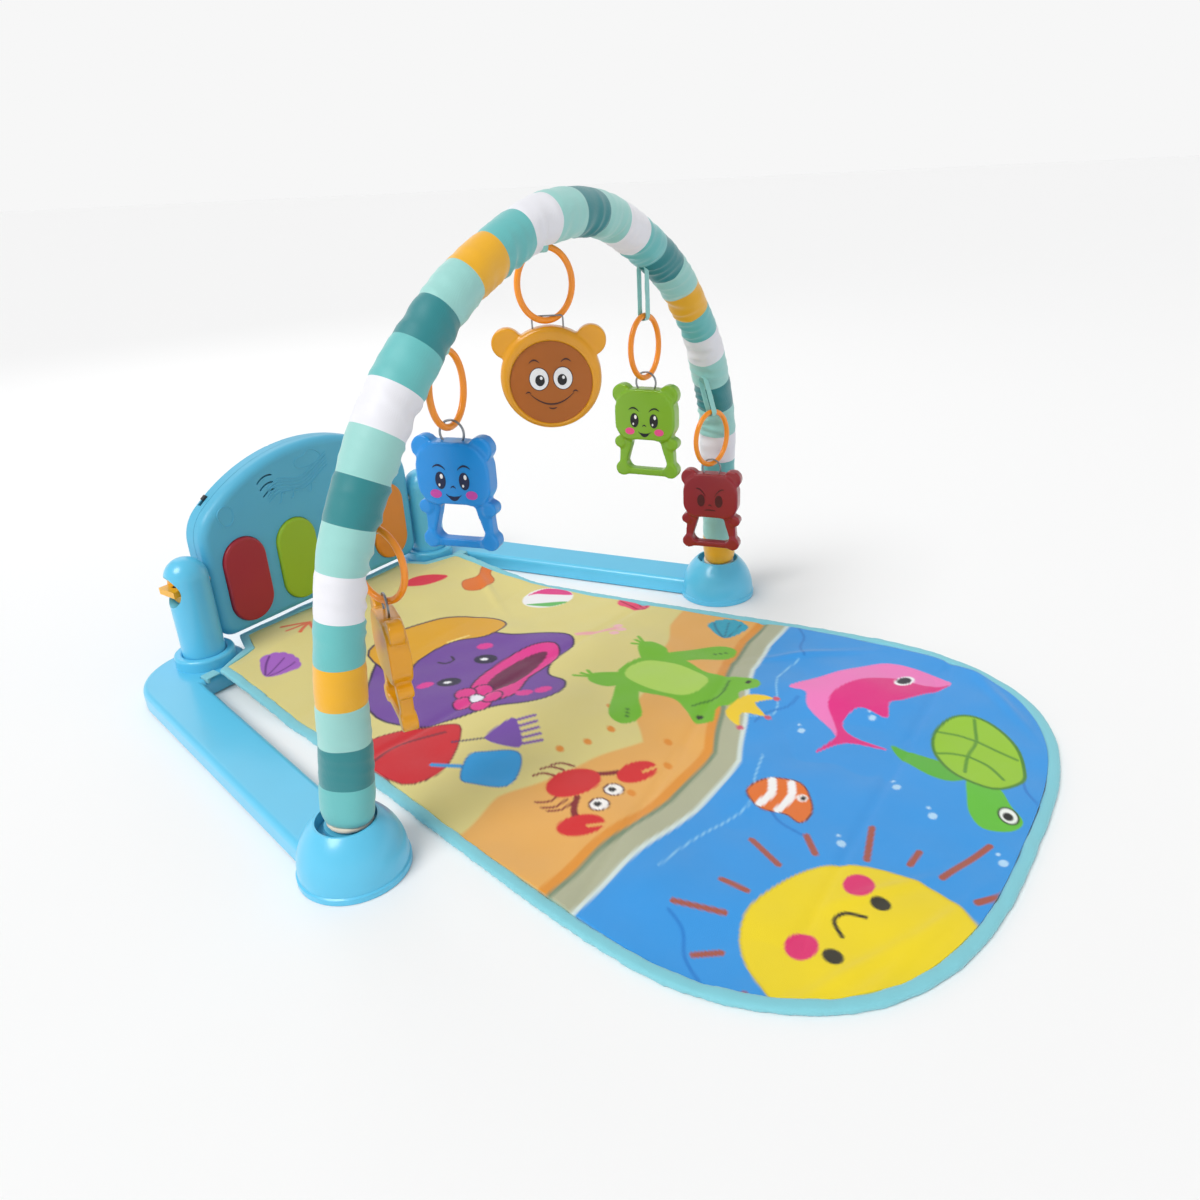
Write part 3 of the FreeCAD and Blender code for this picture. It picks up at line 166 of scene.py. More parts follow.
def surface(name, rgb, rough=0.4, coat=0.0, metal=0.0, sheen=0.0, grain=180.0, bump=0.04,
            mottle=0.06, weave=0.0, colours=None):
    """A procedural material: mottled colour, uneven gloss and a grain or weave in the bump."""
    made = bpy.data.materials.new(name)
    made.use_nodes = True
    nodes, links = made.node_tree.nodes, made.node_tree.links
    shader = nodes["Principled BSDF"]
    shader.inputs["Metallic"].default_value = metal
    shader.inputs["Coat Weight"].default_value = coat
    shader.inputs["Coat Roughness"].default_value = 0.15
    shader.inputs["Sheen Weight"].default_value = sheen
    place = nodes.new("ShaderNodeTexCoord")

    def noise(scale, detail):
        node = nodes.new("ShaderNodeTexNoise")
        node.inputs["Scale"].default_value = scale
        node.inputs["Detail"].default_value = detail
        links.new(place.outputs["Object"], node.inputs["Vector"])
        return node

    broad = noise(14, 3)
    blend = nodes.new("ShaderNodeMix")
    blend.data_type = "RGBA"
    blend.blend_type = "MULTIPLY"
    blend.inputs["Factor"].default_value = 1
    shade = nodes.new("ShaderNodeMapRange")
    shade.inputs["To Min"].default_value = 1 - mottle
    shade.inputs["To Max"].default_value = 1 + mottle
    links.new(broad.outputs["Fac"], shade.inputs["Value"])
    if colours:
        source = nodes.new("ShaderNodeAttribute")
        source.attribute_name = colours
        links.new(source.outputs["Color"], blend.inputs["A"])
    else:
        blend.inputs["A"].default_value = linear(rgb)
    links.new(shade.outputs["Result"], blend.inputs["B"])
    links.new(blend.outputs["Result"], shader.inputs["Base Color"])

    gloss = nodes.new("ShaderNodeMapRange")
    gloss.inputs["To Min"].default_value = rough * 0.85
    gloss.inputs["To Max"].default_value = min(rough * 1.15, 1)
    links.new(noise(60, 4).outputs["Fac"], gloss.inputs["Value"])
    links.new(gloss.outputs["Result"], shader.inputs["Roughness"])

    relief = nodes.new("ShaderNodeBump")
    relief.inputs["Strength"].default_value = bump
    relief.inputs["Distance"].default_value = 0.0006
    height = noise(grain, 5).outputs["Fac"]
    if weave:
        threads = []
        for direction in ("X", "Y"):
            wave = nodes.new("ShaderNodeTexWave")
            wave.bands_direction = direction
            wave.inputs["Scale"].default_value = weave
            links.new(place.outputs["Object"], wave.inputs["Vector"])
            threads.append(wave)
        crossed = nodes.new("ShaderNodeMath")
        crossed.operation = "MAXIMUM"
        links.new(threads[0].outputs["Fac"], crossed.inputs[0])
        links.new(threads[1].outputs["Fac"], crossed.inputs[1])
        total = nodes.new("ShaderNodeMath")
        total.operation = "ADD"
        links.new(crossed.outputs[0], total.inputs[0])
        links.new(height, total.inputs[1])
        height = total.outputs[0]
    links.new(height, relief.inputs["Height"])
    links.new(relief.outputs["Normal"], shader.inputs["Normal"])
    return made


GLOSSY = {"rough": 0.3, "coat": 0.35, "bump": 0.03}
SATIN = {"rough": 0.45, "coat": 0.1, "bump": 0.05}
CLOTH = {"rough": 0.85, "sheen": 0.3, "bump": 0.25, "mottle": 0.05, "weave": 420.0}

LOOKS = {
    "blue_plastic": ((92, 195, 232), GLOSSY), "matte_blue_plastic": ((84, 178, 212), SATIN),
    "steel": ((168, 170, 174), {"rough": 0.35, "metal": 1.0}),
    "knob_yellow": ((240, 175, 20), GLOSSY), "grey_rubber": ((80, 82, 85), {"rough": 0.9}),
    "cream_elastic": ((222, 214, 196), CLOTH), "binding_fabric": ((128, 202, 214), CLOTH),
    "orange_plastic": ((255, 150, 20), GLOSSY), "toy_yellow": ((228, 156, 4), GLOSSY),
    "toy_blue": ((2, 142, 224), GLOSSY), "toy_green": ((125, 178, 22), GLOSSY),
    "toy_red": ((150, 18, 32), GLOSSY), "wire": ((150, 153, 158), {"rough": 0.3, "metal": 1.0}),
    "brown_disc": ((176, 94, 0), SATIN), "key_red": ((165, 30, 45), SATIN),
    "key_green": ((150, 188, 25), SATIN), "key_purple": ((120, 60, 150), SATIN),
    "key_orange": ((225, 135, 10), SATIN), "board_green": ((30, 95, 55), {"rough": 0.5}),
    "dark_plastic": ((40, 42, 46), SATIN), "cell_metal": ((70, 72, 78), {"rough": 0.4, "metal": 0.5}),
    "sleeve_fabric": ((150, 210, 205), CLOTH), "mat_fabric": ((215, 200, 120), CLOTH),
}
MATERIALS = {name: surface(name, rgb, **settings) for name, (rgb, settings) in LOOKS.items()}
INK = {name: surface("ink_" + name, rgb, rough=0.4, bump=0.02) for name, rgb in {
    "black": (18, 16, 20), "white": (245, 245, 245), "brown": (70, 32, 12), "navy": (12, 30, 70),
    "pink": (235, 80, 140), "rose": (200, 70, 170), "deep_red": (80, 6, 14)}.items()}

SATIN_CLOTH = {"rough": 0.5, "sheen": 0.35, "bump": 0.12, "mottle": 0.05, "weave": 500.0}
STRIPE_LOOKS = {name: surface("stripe_" + name, rgb, **SATIN_CLOTH) for name, rgb in {
    "aqua": (98, 186, 186), "dark": (26, 128, 134), "mint": (150, 208, 202), "white": (232, 232, 238),
    "yellow": (236, 174, 4)}.items()}


def dress_cad_nodes():
    """Every carried-over CAD node takes the look of its slot in the record."""
    for row in frame["record"]["subparts"]:
        node = frame["nodes"][row["node"]]
        node.data.materials.clear()
        node.data.materials.append(MATERIALS[row["material_slot"]])


# ---- mesh helpers -----------------------------------------------------------------------------

def new_piece(name, points, faces, materials, body, indices=None):
    mesh = bpy.data.meshes.new(name)
    mesh.from_pydata([tuple(p) for p in points], [], faces)
    for material in materials:
        mesh.materials.append(material)
    if indices is not None:
        mesh.polygons.foreach_set("material_index", indices)
    mesh.polygons.foreach_set("use_smooth", [True] * len(mesh.polygons))
    mesh.update()
    piece = bpy.data.objects.new(name, mesh)
    bpy.context.collection.objects.link(piece)
    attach(piece, body)
    return piece


def ripple(*coordinates, seed, waves=7, low=20.0, high=120.0):
    """Smooth random relief between about -1 and 1, from a few crossing sine waves."""
    rng = np.random.default_rng(SEED + seed)
    total = np.zeros_like(coordinates[0])
    for _ in range(waves):
        direction = rng.normal(size=len(coordinates))
        direction *= rng.uniform(low, high) / np.linalg.norm(direction)
        phase = rng.uniform(0, 2 * math.pi)
        total += np.sin(sum(d * c for d, c in zip(direction, coordinates)) + phase)
    return total / math.sqrt(waves)


# ---- padded sleeve ----------------------------------------------------------------------------

class ArchLine:
    """Centre line of the arch in its own plane, by length from the left foot."""

    def __init__(self):
        self.lean, self.shoulder_turn = math.radians(LEG_ANGLE), math.radians(SHOULDER_END)
        self.leg = LEG_HEIGHT / math.cos(self.lean)
        self.foot = np.array([-HALF_SPAN, 0.0])
        leg_top = self.foot + self.along(self.lean) * self.leg
        self.shoulder_centre = leg_top + self.inward(self.lean) * SHOULDER_RADIUS
        shoulder_top = self.shoulder_centre - self.inward(self.shoulder_turn) * SHOULDER_RADIUS
        self.crown_radius = -shoulder_top[0] / self.inward(self.shoulder_turn)[0]
        self.crown_centre = shoulder_top + self.inward(self.shoulder_turn) * self.crown_radius
        self.shoulder = SHOULDER_RADIUS * (self.shoulder_turn - self.lean)
        crown = self.crown_radius * (math.pi / 2 - self.shoulder_turn)
        self.half = self.leg + self.shoulder + crown

    @staticmethod
    def along(turn):
        return np.array([math.sin(turn), math.cos(turn)])

    @staticmethod
    def inward(turn):
        return np.array([math.cos(turn), -math.sin(turn)])

    def left(self, length):
        if length <= self.leg:
            return self.foot + self.along(self.lean) * length, self.inward(self.lean)
        length -= self.leg
        if length <= self.shoulder:
            turn = self.lean + length / SHOULDER_RADIUS
            return self.shoulder_centre - self.inward(turn) * SHOULDER_RADIUS, self.inward(turn)
        turn = self.shoulder_turn + (length - self.shoulder) / self.crown_radius
        return self.crown_centre - self.inward(turn) * self.crown_radius, self.inward(turn)

    def place(self, length):
        """Centre point and inward direction at a length, in the arch's plane."""
        if length <= self.half:
            return self.left(length)
        point, inward = self.left(2 * self.half - length)
        return point * [-1, 1], inward * [-1, 1]


def wrinkled_radius(s, a, start, end, half):
    """The sleeve's radius at lengths s and turns a: cross wrinkles that deepen on the inside of the
    bend, slack between them, stitched seams between the bands and gathered ends."""
    inside = 0.5 + 0.5 * np.cos(a)
    bend = np.clip((s - LEG_HEIGHT) / 0.05, 0, 1) * np.clip((2 * half - LEG_HEIGHT - s) / 0.05, 0, 1)
    x, y = np.cos(a), np.sin(a)
    cross = ripple(s * 1.6, x * 0.008, y * 0.008, seed=1, waves=9, low=150, high=420)
    slack = ripple(s * 0.6, x * 0.02, y * 0.02, seed=2, waves=6, low=60, high=160)
    depth = WRINKLE + BEND_WRINKLE * inside ** 2 * bend
    folded = -np.abs(cross) + 0.5
    radius = SLEEVE_RADIUS - 0.0004 + depth * folded + SLACK * slack
    seam = np.abs((s - start) / (end - start) * len(STRIPES) % 1 - 0.5) - 0.5
    radius -= SEAM * np.exp(-(seam / 0.07) ** 2)
    close = np.minimum(s - start, end - s)
    return radius - GATHER * np.exp(-close / 0.004)


def sleeve_points(line, lengths, turns, radius):
    """The sleeve's rings of points, leant forward with the arch."""
    lean = math.radians(ARCH_LEAN)
    points = []
    for length, ring in zip(lengths, radius):
        centre, inward = line.place(length)
        for turn, r in zip(turns, ring):
            px = centre[0] + inward[0] * r * math.cos(turn)
            pz = centre[1] + inward[1] * r * math.cos(turn)
            py = r * math.sin(turn)
            points.append((px, FOOT_Y + py * math.cos(lean) - pz * math.sin(lean),
                           pz * math.cos(lean) + py * math.sin(lean)))
    return points


def make_sleeve():
    """Striped satin sleeve, pulled over foam."""
    line = ArchLine()
    start, end = SLEEVE_START, 2 * line.half - SLEEVE_START
    around, rows = SLEEVE_SIDES, len(STRIPES) * ROWS_PER_STRIPE
    lengths = np.linspace(start, end, rows + 1)
    turns = np.linspace(0, 2 * math.pi, around, endpoint=False)
    s, a = np.meshgrid(lengths, turns, indexing="ij")
    points = sleeve_points(line, lengths, turns, wrinkled_radius(s, a, start, end, line.half))
    names = list(STRIPE_LOOKS)
    faces, indices = [], []
    for row in range(rows):
        colour = names.index(STRIPES[row // ROWS_PER_STRIPE])
        for column in range(around):
            following = (column + 1) % around
            a0, a1 = row * around + column, row * around + following
            faces.append((a0, a0 + around, a1 + around, a1))
            indices.append(colour)
    last = rows * around
    faces.append(tuple(range(around)))
    faces.append(tuple(range(last + around - 1, last - 1, -1)))
    indices += [names.index(STRIPES[0]), names.index(STRIPES[-1])]
    sleeve = new_piece("striped_sleeve", points, faces, list(STRIPE_LOOKS.values()), "base",
                       indices)
    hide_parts("arch_sleeve", "arch_padding")


# ---- mat print --------------------------------------------------------------------------------

class Print:
    """Colours for points of the mat, painted shape by shape. Places are in millimetres, in a
    drawing's own frame once start() has set one."""

    def __init__(self, x, y):
        self.world = x / MM, y / MM
        self.x, self.y = self.world
        self.colour = np.tile(np.array(linear((222, 208, 132))), (len(x), 1))

    def start(self, x=0, y=0, turn=0, size=1.0):
        c, s = math.cos(math.radians(turn)), math.sin(math.radians(turn))
        across, along = self.world[0] - x, self.world[1] - y
        self.x, self.y = (across * c + along * s) / size, (along * c - across * s) / size

    def paint(self, distance, rgb, soft=1.1):
        cover = np.clip(0.5 - distance / soft, 0, 1)[:, None]
        self.colour = self.colour * (1 - cover) + np.array(linear(rgb)) * cover

    def oval(self, x, y, rx, ry, rgb, turn=0.0, edge=None):
        c, s = math.cos(math.radians(turn)), math.sin(math.radians(turn))
        u = ((self.x - x) * c + (self.y - y) * s) / rx
        v = (-(self.x - x) * s + (self.y - y) * c) / ry
        distance = (np.hypot(u, v) - 1) * min(rx, ry)
        if edge:
            self.paint(distance - 1.4, edge)
        self.paint(distance, rgb)

    def distance_to(self, points, closed):
        best = np.full(len(self.x), 1e9)
        inside = np.zeros(len(self.x), bool)
        ends = points[1:] + (points[:1] if closed else [])
        for (ax, ay), (bx, by) in zip(points, ends):
            dx, dy = bx - ax, by - ay
            t = ((self.x - ax) * dx + (self.y - ay) * dy) / (dx * dx + dy * dy + 1e-9)
            t = np.clip(t, 0, 1)
            best = np.minimum(best, np.hypot(self.x - ax - t * dx, self.y - ay - t * dy))
            if closed:
                crosses = (ay > self.y) != (by > self.y)
                inside ^= crosses & (self.x < ax + (self.y - ay) * dx / (dy if dy else 1e-9))
        return np.where(inside, -best, best)

    def stroke(self, points, width, rgb):
        self.paint(self.distance_to(smooth_line(points, False), False) - width / 2, rgb)

    def blob(self, points, rgb, edge=None, edge_width=1.6):
        """A smooth closed shape through the points, with an outline if edge is given."""
        distance = self.distance_to(smooth_line(points, True), True)
        if edge:
            self.paint(distance - edge_width, edge)
        self.paint(distance, rgb)


def smooth_line(points, closed):
    """A smooth curve through the points, with four steps between each two."""
    count = len(points)
    if count < 3:
        return list(points)
    last = count if closed else count - 1
    line = []
    for i in range(last):
        steps = [(i + k) % count if closed else min(max(i + k, 0), count - 1) for k in (-1, 0, 1, 2)]
        p = [np.array(points[k], float) for k in steps]
        for t in (0, 0.25, 0.5, 0.75):
            line.append(tuple(0.5 * (2 * p[1] + (p[2] - p[0]) * t
                        + (2 * p[0] - 5 * p[1] + 4 * p[2] - p[3]) * t ** 2
                        + (3 * p[1] - p[0] - 3 * p[2] + p[3]) * t ** 3)))
    return line if closed else line + [tuple(points[-1])]


OUTLINE = (44, 18, 66)  # the dark line round the large creature


def shore(x):
    """Where the waterline lies, in millimetres along Y."""
    return np.interp(x, (-230, -158, -85, -16, 32, 80, 113, 160, 197, 230),
                     (-146, -151, -160, -158, -140, -118, -104, -97, -96, -96))


def paint_ground(p):
    """Sand, wet sand and foam, then the sea with its streaks, pebbles and bubbles."""
    wave = 4 * np.sin(p.x / 31) + 2 * np.sin(p.x / 12 + 1)
    line = shore(p.x)
    sand_end = np.interp(p.x, (-230, -146, -72, -33, 0, 40, 150, 230), (-30, -32, -58, -74, -50, -40, 10, 24))
    p.paint(p.y - sand_end - wave, (232, 172, 86), 3)
    p.paint(p.y - (line + 34 + 0.4 * wave), (226, 146, 40), 2)
    p.paint(p.y - (line + 26 + 0.4 * wave), (120, 140, 112), 2)
    p.paint(p.y - (line + 22 + 0.3 * wave), (176, 178, 148), 2)
    p.paint(p.y - (line + 5 + 0.3 * wave), (212, 226, 220), 2)
    p.paint(p.y - (line + 1 + 0.3 * wave), (46, 150, 226), 2)
    p.stroke([(-150, -168), (-113, -172), (-60, -186), (-30, -176), (0, -168)], 1.4, (130, 196, 240))
    p.stroke([(40, -134), (60, -150), (108, -128), (150, -130)], 1.4, (130, 196, 240))
    for place in ((-60, -208, 60), (62, -150, -24), (180, -120, 20), (-195, -215, 40), (60, -345, 30)):
        p.start(*place)
        p.stroke([(-26, -3), (-8, 2), (12, 0), (28, 6)], 2.2, (24, 126, 208))
    p.start()
    for x, y in ((-4, -28), (-32, -48), (-56, -42), (-74, -28), (-22, -96), (-48, -112), (-92, -108),
                 (40, -40)):
        p.oval(x, y, 4.6, 3, (226, 140, 30), 60)
    for x, y in ((48, -178), (92, -220), (-66, -258), (-8, -300), (12, -268), (-30, -352)):
        p.oval(x, y, 3.4, 3, (176, 216, 246))
        p.oval(x + 7, y + 5, 1.6, 1.4, (176, 216, 246))


def paint_sun(p):
    rays = ((-38, 84, 109), (-20, 81, 130), (-5, 78, 92), (15, 70, 104), (41, 74, 93), (62, 73, 103),
            (88, 71, 89), (106, 77, 109), (128, 78, 94), (152, 77, 92))
    p.start(-140, -296, 0)
    for turn, inner, outer in rays:
        c, s = math.cos(math.radians(turn)), math.sin(math.radians(turn))
        p.stroke([(inner * c, inner * s), (outer * c, outer * s)], 4.6, (166, 84, 68))
    p.blob([(-16, 62), (22, 54), (51, 33), (64, -6), (53, -49), (28, -64), (-27, -46), (-64, 1), (-49, 43)],
           (238, 212, 14), (214, 190, 40), 1.4)
    p.start(-131, -290, 170)
    for side in (-1, 1):
        p.oval(26 * side, 5, 5.4, 6.4, (48, 44, 28))
        p.oval(31 * side, -13, 10.5, 9.5, (222, 40, 110))
    p.stroke([(-11, 4), (-6, -7), (3, -9), (10, 1)], 2.6, (54, 46, 22))


def paint_dolphin(p):
    p.start(112, -212, -34)
    tail = [(-52, -26), (-79, -38), (-50, -37), (-27, -59), (-40, -33), (-38, -14), (-20, -2), (-10, -4),
            (-2, -23), (12, -7), (25, -8), (50, -6), (77, -3)]
    p.blob(tail + [(80, 8), (66, 38), (48, 54), (10, 54), (-47, 52), (-40, 38), (-50, 18)],
           (240, 122, 190))
    p.blob(tail + [(58, 5), (44, 25), (20, 34), (-10, 31), (-32, 16), (-42, -8)], (226, 20, 128))
    p.oval(47, 19, 11, 6.4, (248, 248, 250), 14)
    p.oval(47, 19.6, 7.6, 5, (24, 16, 34), 14)


def paint_turtle(p):
    p.start(84, -304, 0)
    p.blob([(-20, 58), (-34, 46), (-47, 22), (-47, 4), (-34, -5), (-25, 14), (-23, 36)], (84, 178, 40))
    p.blob([(-38, -4), (-58, -9), (-76, -16), (-87, -28), (-80, -44), (-66, -49), (-54, -38), (-40, -28),
            (-34, -16)], (96, 190, 46))
    p.oval(-65, -39, 9, 7, (40, 70, 20), 30)
    p.oval(-65, -39, 7.4, 5.6, (238, 244, 236), 30)
    p.oval(-66, -39, 4, 3.4, (20, 24, 18), 30)
    p.blob([(48, 18), (36, 30), (8, 33), (-16, 24), (-36, 3), (-40, -22), (-22, -36), (-4, -34), (22, -22),
            (44, 0)], (150, 200, 30), (70, 132, 20), 2.6)
    for points in (((-30, 0), (-8, 4), (14, 4), (34, 10), (46, 14)), ((-8, 4), (-14, -12), (-26, -26)),
                   ((-8, 4), (-10, 16), (-14, 24)), ((16, 4), (10, -12), (6, -28)),
                   ((16, 4), (18, 18), (14, 32))):
        p.stroke(points, 2.6, (88, 148, 22))


def paint_fish(p):
    p.start(-38, -202, -82)
    p.blob([(20, 2), (8, 18), (-12, 16), (-22, 6), (-24, -6), (-10, -18), (8, -18), (20, -24), (24, -12)],
           (228, 112, 26), (110, 44, 14), 1.2)
    p.stroke([(-12, 14), (-8, 0), (-12, -14)], 6.4, (246, 244, 242))
    p.stroke([(2, 16), (6, 2), (2, -16)], 6, (246, 244, 242))
    p.oval(14, 3, 4, 4, (248, 236, 230))
    p.oval(14.6, 3, 2.2, 2.4, (22, 18, 18))


def paint_crab(p):
    red, dark = (214, 14, 22), (132, 14, 20)
    p.start(-104, -66, 0)
    for x, y in ((0, 18), (9, 18), (17, 14)):
        p.stroke([(x, y), (x - 2, y + 11), (x - 8, y + 16)], 2.2, dark)
    for x, y in ((-16, 2), (-19, -6), (-20, -12)):
        p.stroke([(x, y), (x - 10, y + 2), (x - 16, y + 10)], 2.2, dark)
    p.stroke([(14, -2), (22, -14), (30, -22)], 5, dark)
    p.stroke([(-14, -12), (-26, -18), (-34, -26)], 5, dark)
    p.oval(0, 2, 21, 17, red, -34)
    for x, y, turn in ((36, -31, -20), (-38, -33, -50)):
        p.oval(x, y, 17, 11.5, red, turn)
        c, s = math.cos(math.radians(turn)), math.sin(math.radians(turn))
        p.stroke([(x + 3 * c, y + 3 * s - 3), (x + 17 * c, y + 17 * s - 4)], 3, (232, 172, 86))
    for x, y in ((8, -29), (-13, -31)):
        p.oval(x, y, 6.6, 6.6, (250, 246, 242), 0, (90, 20, 20))
        p.oval(x - 0.5, y + 1, 2.8, 3, (22, 18, 20))


def paint_frog(p):
    green, light, dark = (112, 186, 18), (178, 216, 86), (64, 128, 14)
    p.start(62, -40, -97)
    for side in (-1, 1):
        p.blob([(-34, 14 * side), (-48, 22 * side), (-58, 34 * side), (-50, 44 * side), (-30, 42 * side),
                (-22, 26 * side)], green)
        p.blob([(-30, 26 * side), (-16, 50 * side), (4, 78 * side), (22, 80 * side), (26, 62 * side),
                (8, 44 * side), (-12, 22 * side)], green)
        for toe in (-1, 0, 1):
            p.stroke([(-52, 36 * side), (-66 - 2 * toe, (38 + 7 * toe) * side)], 3.2, green)
            p.oval(14 + 3 * toe, (66 + 4 * toe) * side, 2, 1.6, dark)
    p.blob([(-44, 0), (-36, 24), (-6, 34), (30, 26), (50, 34), (68, 44), (78, 34), (70, 16), (80, 0),
            (70, -16), (78, -34), (68, -44), (50, -34), (30, -26), (-6, -34), (-36, -24)], green)
    p.blob([(-38, 0), (-30, 18), (0, 24), (34, 18), (42, 0), (34, -18), (0, -24), (-30, -18)], light)
    for side in (-1, 1):
        p.oval(66, 35 * side, 3.4, 2.4, (20, 34, 12), 90)
    p.stroke([(52, -26), (60, 0), (52, 26)], 2.4, dark)
    p.blob([(78, -16), (98, -26), (90, -10), (106, 0), (90, 10), (98, 26), (78, 16)], (244, 206, 20))
    for x, y in ((100, -27), (109, 0), (100, 27)):
        p.oval(x, y, 3, 3, (206, 86, 110))


def paint_star_creature(p):
    """A big plain purple sea creature with a sun hat and a flowered band."""
    purple = (112, 66, 156)
    p.start(-18, 112, 0)
    p.blob([(-96, 34), (-96, -14), (-72, -36), (-40, -52), (-18, -74), (10, -86), (30, -78), (32, -58),
            (52, -46), (86, -44), (100, -30), (92, -8), (72, 18), (62, 48), (46, 82), (0, 100),
            (-50, 82)], purple, OUTLINE, 2)
    p.blob([(-36, 58), (-10, 64), (30, 60), (56, 40), (84, 38), (92, 56), (78, 84), (44, 104), (0, 114),
            (-34, 104)], (226, 164, 6), OUTLINE, 2)
    p.stroke([(28, 62), (48, 54)], 3, (246, 216, 120))
    p.blob([(-44, -36), (-20, -14), (20, -6), (58, -10), (80, -28), (60, -46), (20, -46), (-16, -56)],
           (226, 40, 140), OUTLINE, 1.8)
    p.blob([(-22, -30), (8, -18), (46, -20), (64, -32), (40, -40), (4, -42)], (104, 8, 66))
    for step in range(5):
        turn = math.radians(step * 72 + 20)
        p.oval(-34 + 13 * math.cos(turn), -32 + 13 * math.sin(turn), 9.5, 8, (226, 46, 140), 0, OUTLINE)
    p.oval(-34, -32, 6, 6, (240, 236, 246), 0, OUTLINE)
    for x, y in ((24, 10), (-26, 9)):
        p.oval(x, y, 11, 8.5, (30, 16, 58), -45)
        p.oval(x - 1, y + 1, 3.5, 2.3, (250, 250, 252), -45)
    for x, y in ((42, 27), (-41, 24), (-6, -62), (8, -72)):
        p.oval(x, y, 8, 5, (226, 46, 150), -30)
    p.stroke([(-4, 44), (-2, 36), (6, 34), (10, 40)], 2.6, OUTLINE)


def paint_beach_things(p):
    p.start(-146, 62, 0)
    p.blob([(-28, -18), (4, -30), (50, -4), (46, 14), (10, 44), (-22, 40)], (206, 10, 30), (120, 6, 30), 1.2)
    p.stroke([(-20, 22), (8, 22), (40, 4)], 3, (130, 6, 34))
    p.start(-98, 38, -42)
    p.stroke([(-20, 0), (10, 0)], 2, (60, 40, 90))
    p.blob([(8, -4), (22, -16), (34, -18), (34, 18), (22, 16), (8, 4)], (118, 72, 170))
    for step in range(-2, 3):
        p.stroke([(30, 8 * step), (50, 8.4 * step)], 3.2, (118, 72, 170))
    p.start(-124, 8, -60)
    p.stroke([(-40, 0), (-12, 0)], 4.4, (40, 150, 216))
    p.blob([(-14, -14), (-2, -20), (22, -22), (28, 0), (22, 22), (-2, 20), (-14, 14)], (26, 158, 226),
           (16, 110, 176), 1.2)
    for x, y, turn, tone, shade in ((-121, 262, 20, (164, 92, 192), (104, 36, 130)),
                                    (176, 62, 60, (232, 66, 110), (176, 20, 60)),
                                    (171, -44, 20, (28, 160, 188), (10, 110, 140))):
        p.start(x, y, turn)
        for step in range(6):
            reach = math.radians(-60 + step * 24)
            p.oval(15 * math.cos(reach), 16 * math.sin(reach), 7, 6, tone)
        p.blob([(-16, 0), (2, 17), (14, 12), (16, 0), (14, -12), (2, -17)], tone)
        p.stroke([(-14, 2), (0, 10), (12, 14)], 2, shade)
        p.stroke([(-14, 0), (14, 0)], 1.4, shade)
        p.stroke([(-14, -2), (0, -9), (12, -12)], 1.4, shade)
    p.start(-52, 300, 200)
    for turn in (-60, -25, 10, 45):
        c, s = math.cos(math.radians(turn)), math.sin(math.radians(turn))
        p.stroke([(0, 0), (14 * c, 14 * s), (20 * c + 3, 26 * s)], 4, (232, 96, 36))
    p.start(82, 277, -20)
    p.blob([(-26, 0), (-8, 9), (14, 7), (28, 0), (14, -7), (-8, -9)], (222, 24, 60))
    p.start(122, 236, 0)
    p.blob([(-22, -2), (-8, -12), (14, -10), (24, 4), (44, 12), (40, 22), (24, 16), (10, 8), (-10, 12)],
           (226, 112, 14), (180, 76, 10), 1)
    p.start(139, 153, -46)
    p.oval(0, 0, 27, 22, (242, 240, 242))
    p.blob([(-20, 12), (0, 21), (20, 13), (26, 0), (8, 4), (-10, 12)], (226, 40, 130))
    p.blob([(-24, -8), (0, -21), (20, -15), (0, -12)], (96, 184, 90))
    p.start(106, 60, -46)
    p.stroke([(-24, -2), (-4, 0), (16, 3)], 5, (236, 168, 172))
    for x, y in ((12, -6), (20, 0), (18, 8)):
        p.oval(x, y, 5, 3.4, (240, 184, 190))


# ---- mat --------------------------------------------------------------------------------------

def half_width(node):
    """The node's half width at a place along Y, from its own outline."""
    corners = [v.co for v in frame["nodes"][node].data.vertices if v.co.x > 0]
    levels = sorted({round(c.y, 5) for c in corners})
    widest = [max(c.x for c in corners if abs(c.y - y) < 2e-5) for y in levels]
    return lambda y: np.interp(y, levels, widest)


def lift(y):
    """The mat's underside: flat on the floor, then up over the arms' elbows."""
    return np.interp(y, MAT_RISE, (0.0, MAT_REAR_LIFT))


def ridge(x, y, middle_x, middle_y, turn, reach, height):
    """A short straight crease: its ridge line's turn in radians, half length and height."""
    c, s = math.cos(turn), math.sin(turn)
    across = (x - middle_x) * c + (y - middle_y) * s
    along = -(x - middle_x) * s + (y - middle_y) * c
    return height * np.exp(-(across / 0.005) ** 2 - (along / reach) ** 2)


def lumps(x, y):
    """Gentle padding lumps, small creases and old fold lines."""
    soft = 0.0017 * ripple(x, y, seed=3, waves=9, low=22, high=60)
    fine = 0.0005 * ripple(x, y, seed=4, waves=10, low=70, high=180)
    folds = sum(0.0016 * np.exp(-((y - level - slope * x) / 0.0045) ** 2)
                for level, slope in ((-0.105, 0.18), (0.075, -0.1), (-0.26, 0.06)))
    creases = sum(ridge(x, y, *crease) for crease in (
        (-0.15, -0.31, 1.1, 0.05, 0.0022), (-0.12, -0.33, 1.3, 0.06, 0.002),
        (-0.09, -0.30, 0.9, 0.04, 0.0016), (0.16, -0.13, 0.7, 0.05, 0.0022),
        (0.17, -0.30, 2.3, 0.05, 0.002), (0.12, 0.22, 2.6, 0.05, 0.0018)))
    return np.clip(soft + fine - folds + creases, -0.0022, 0.0055)


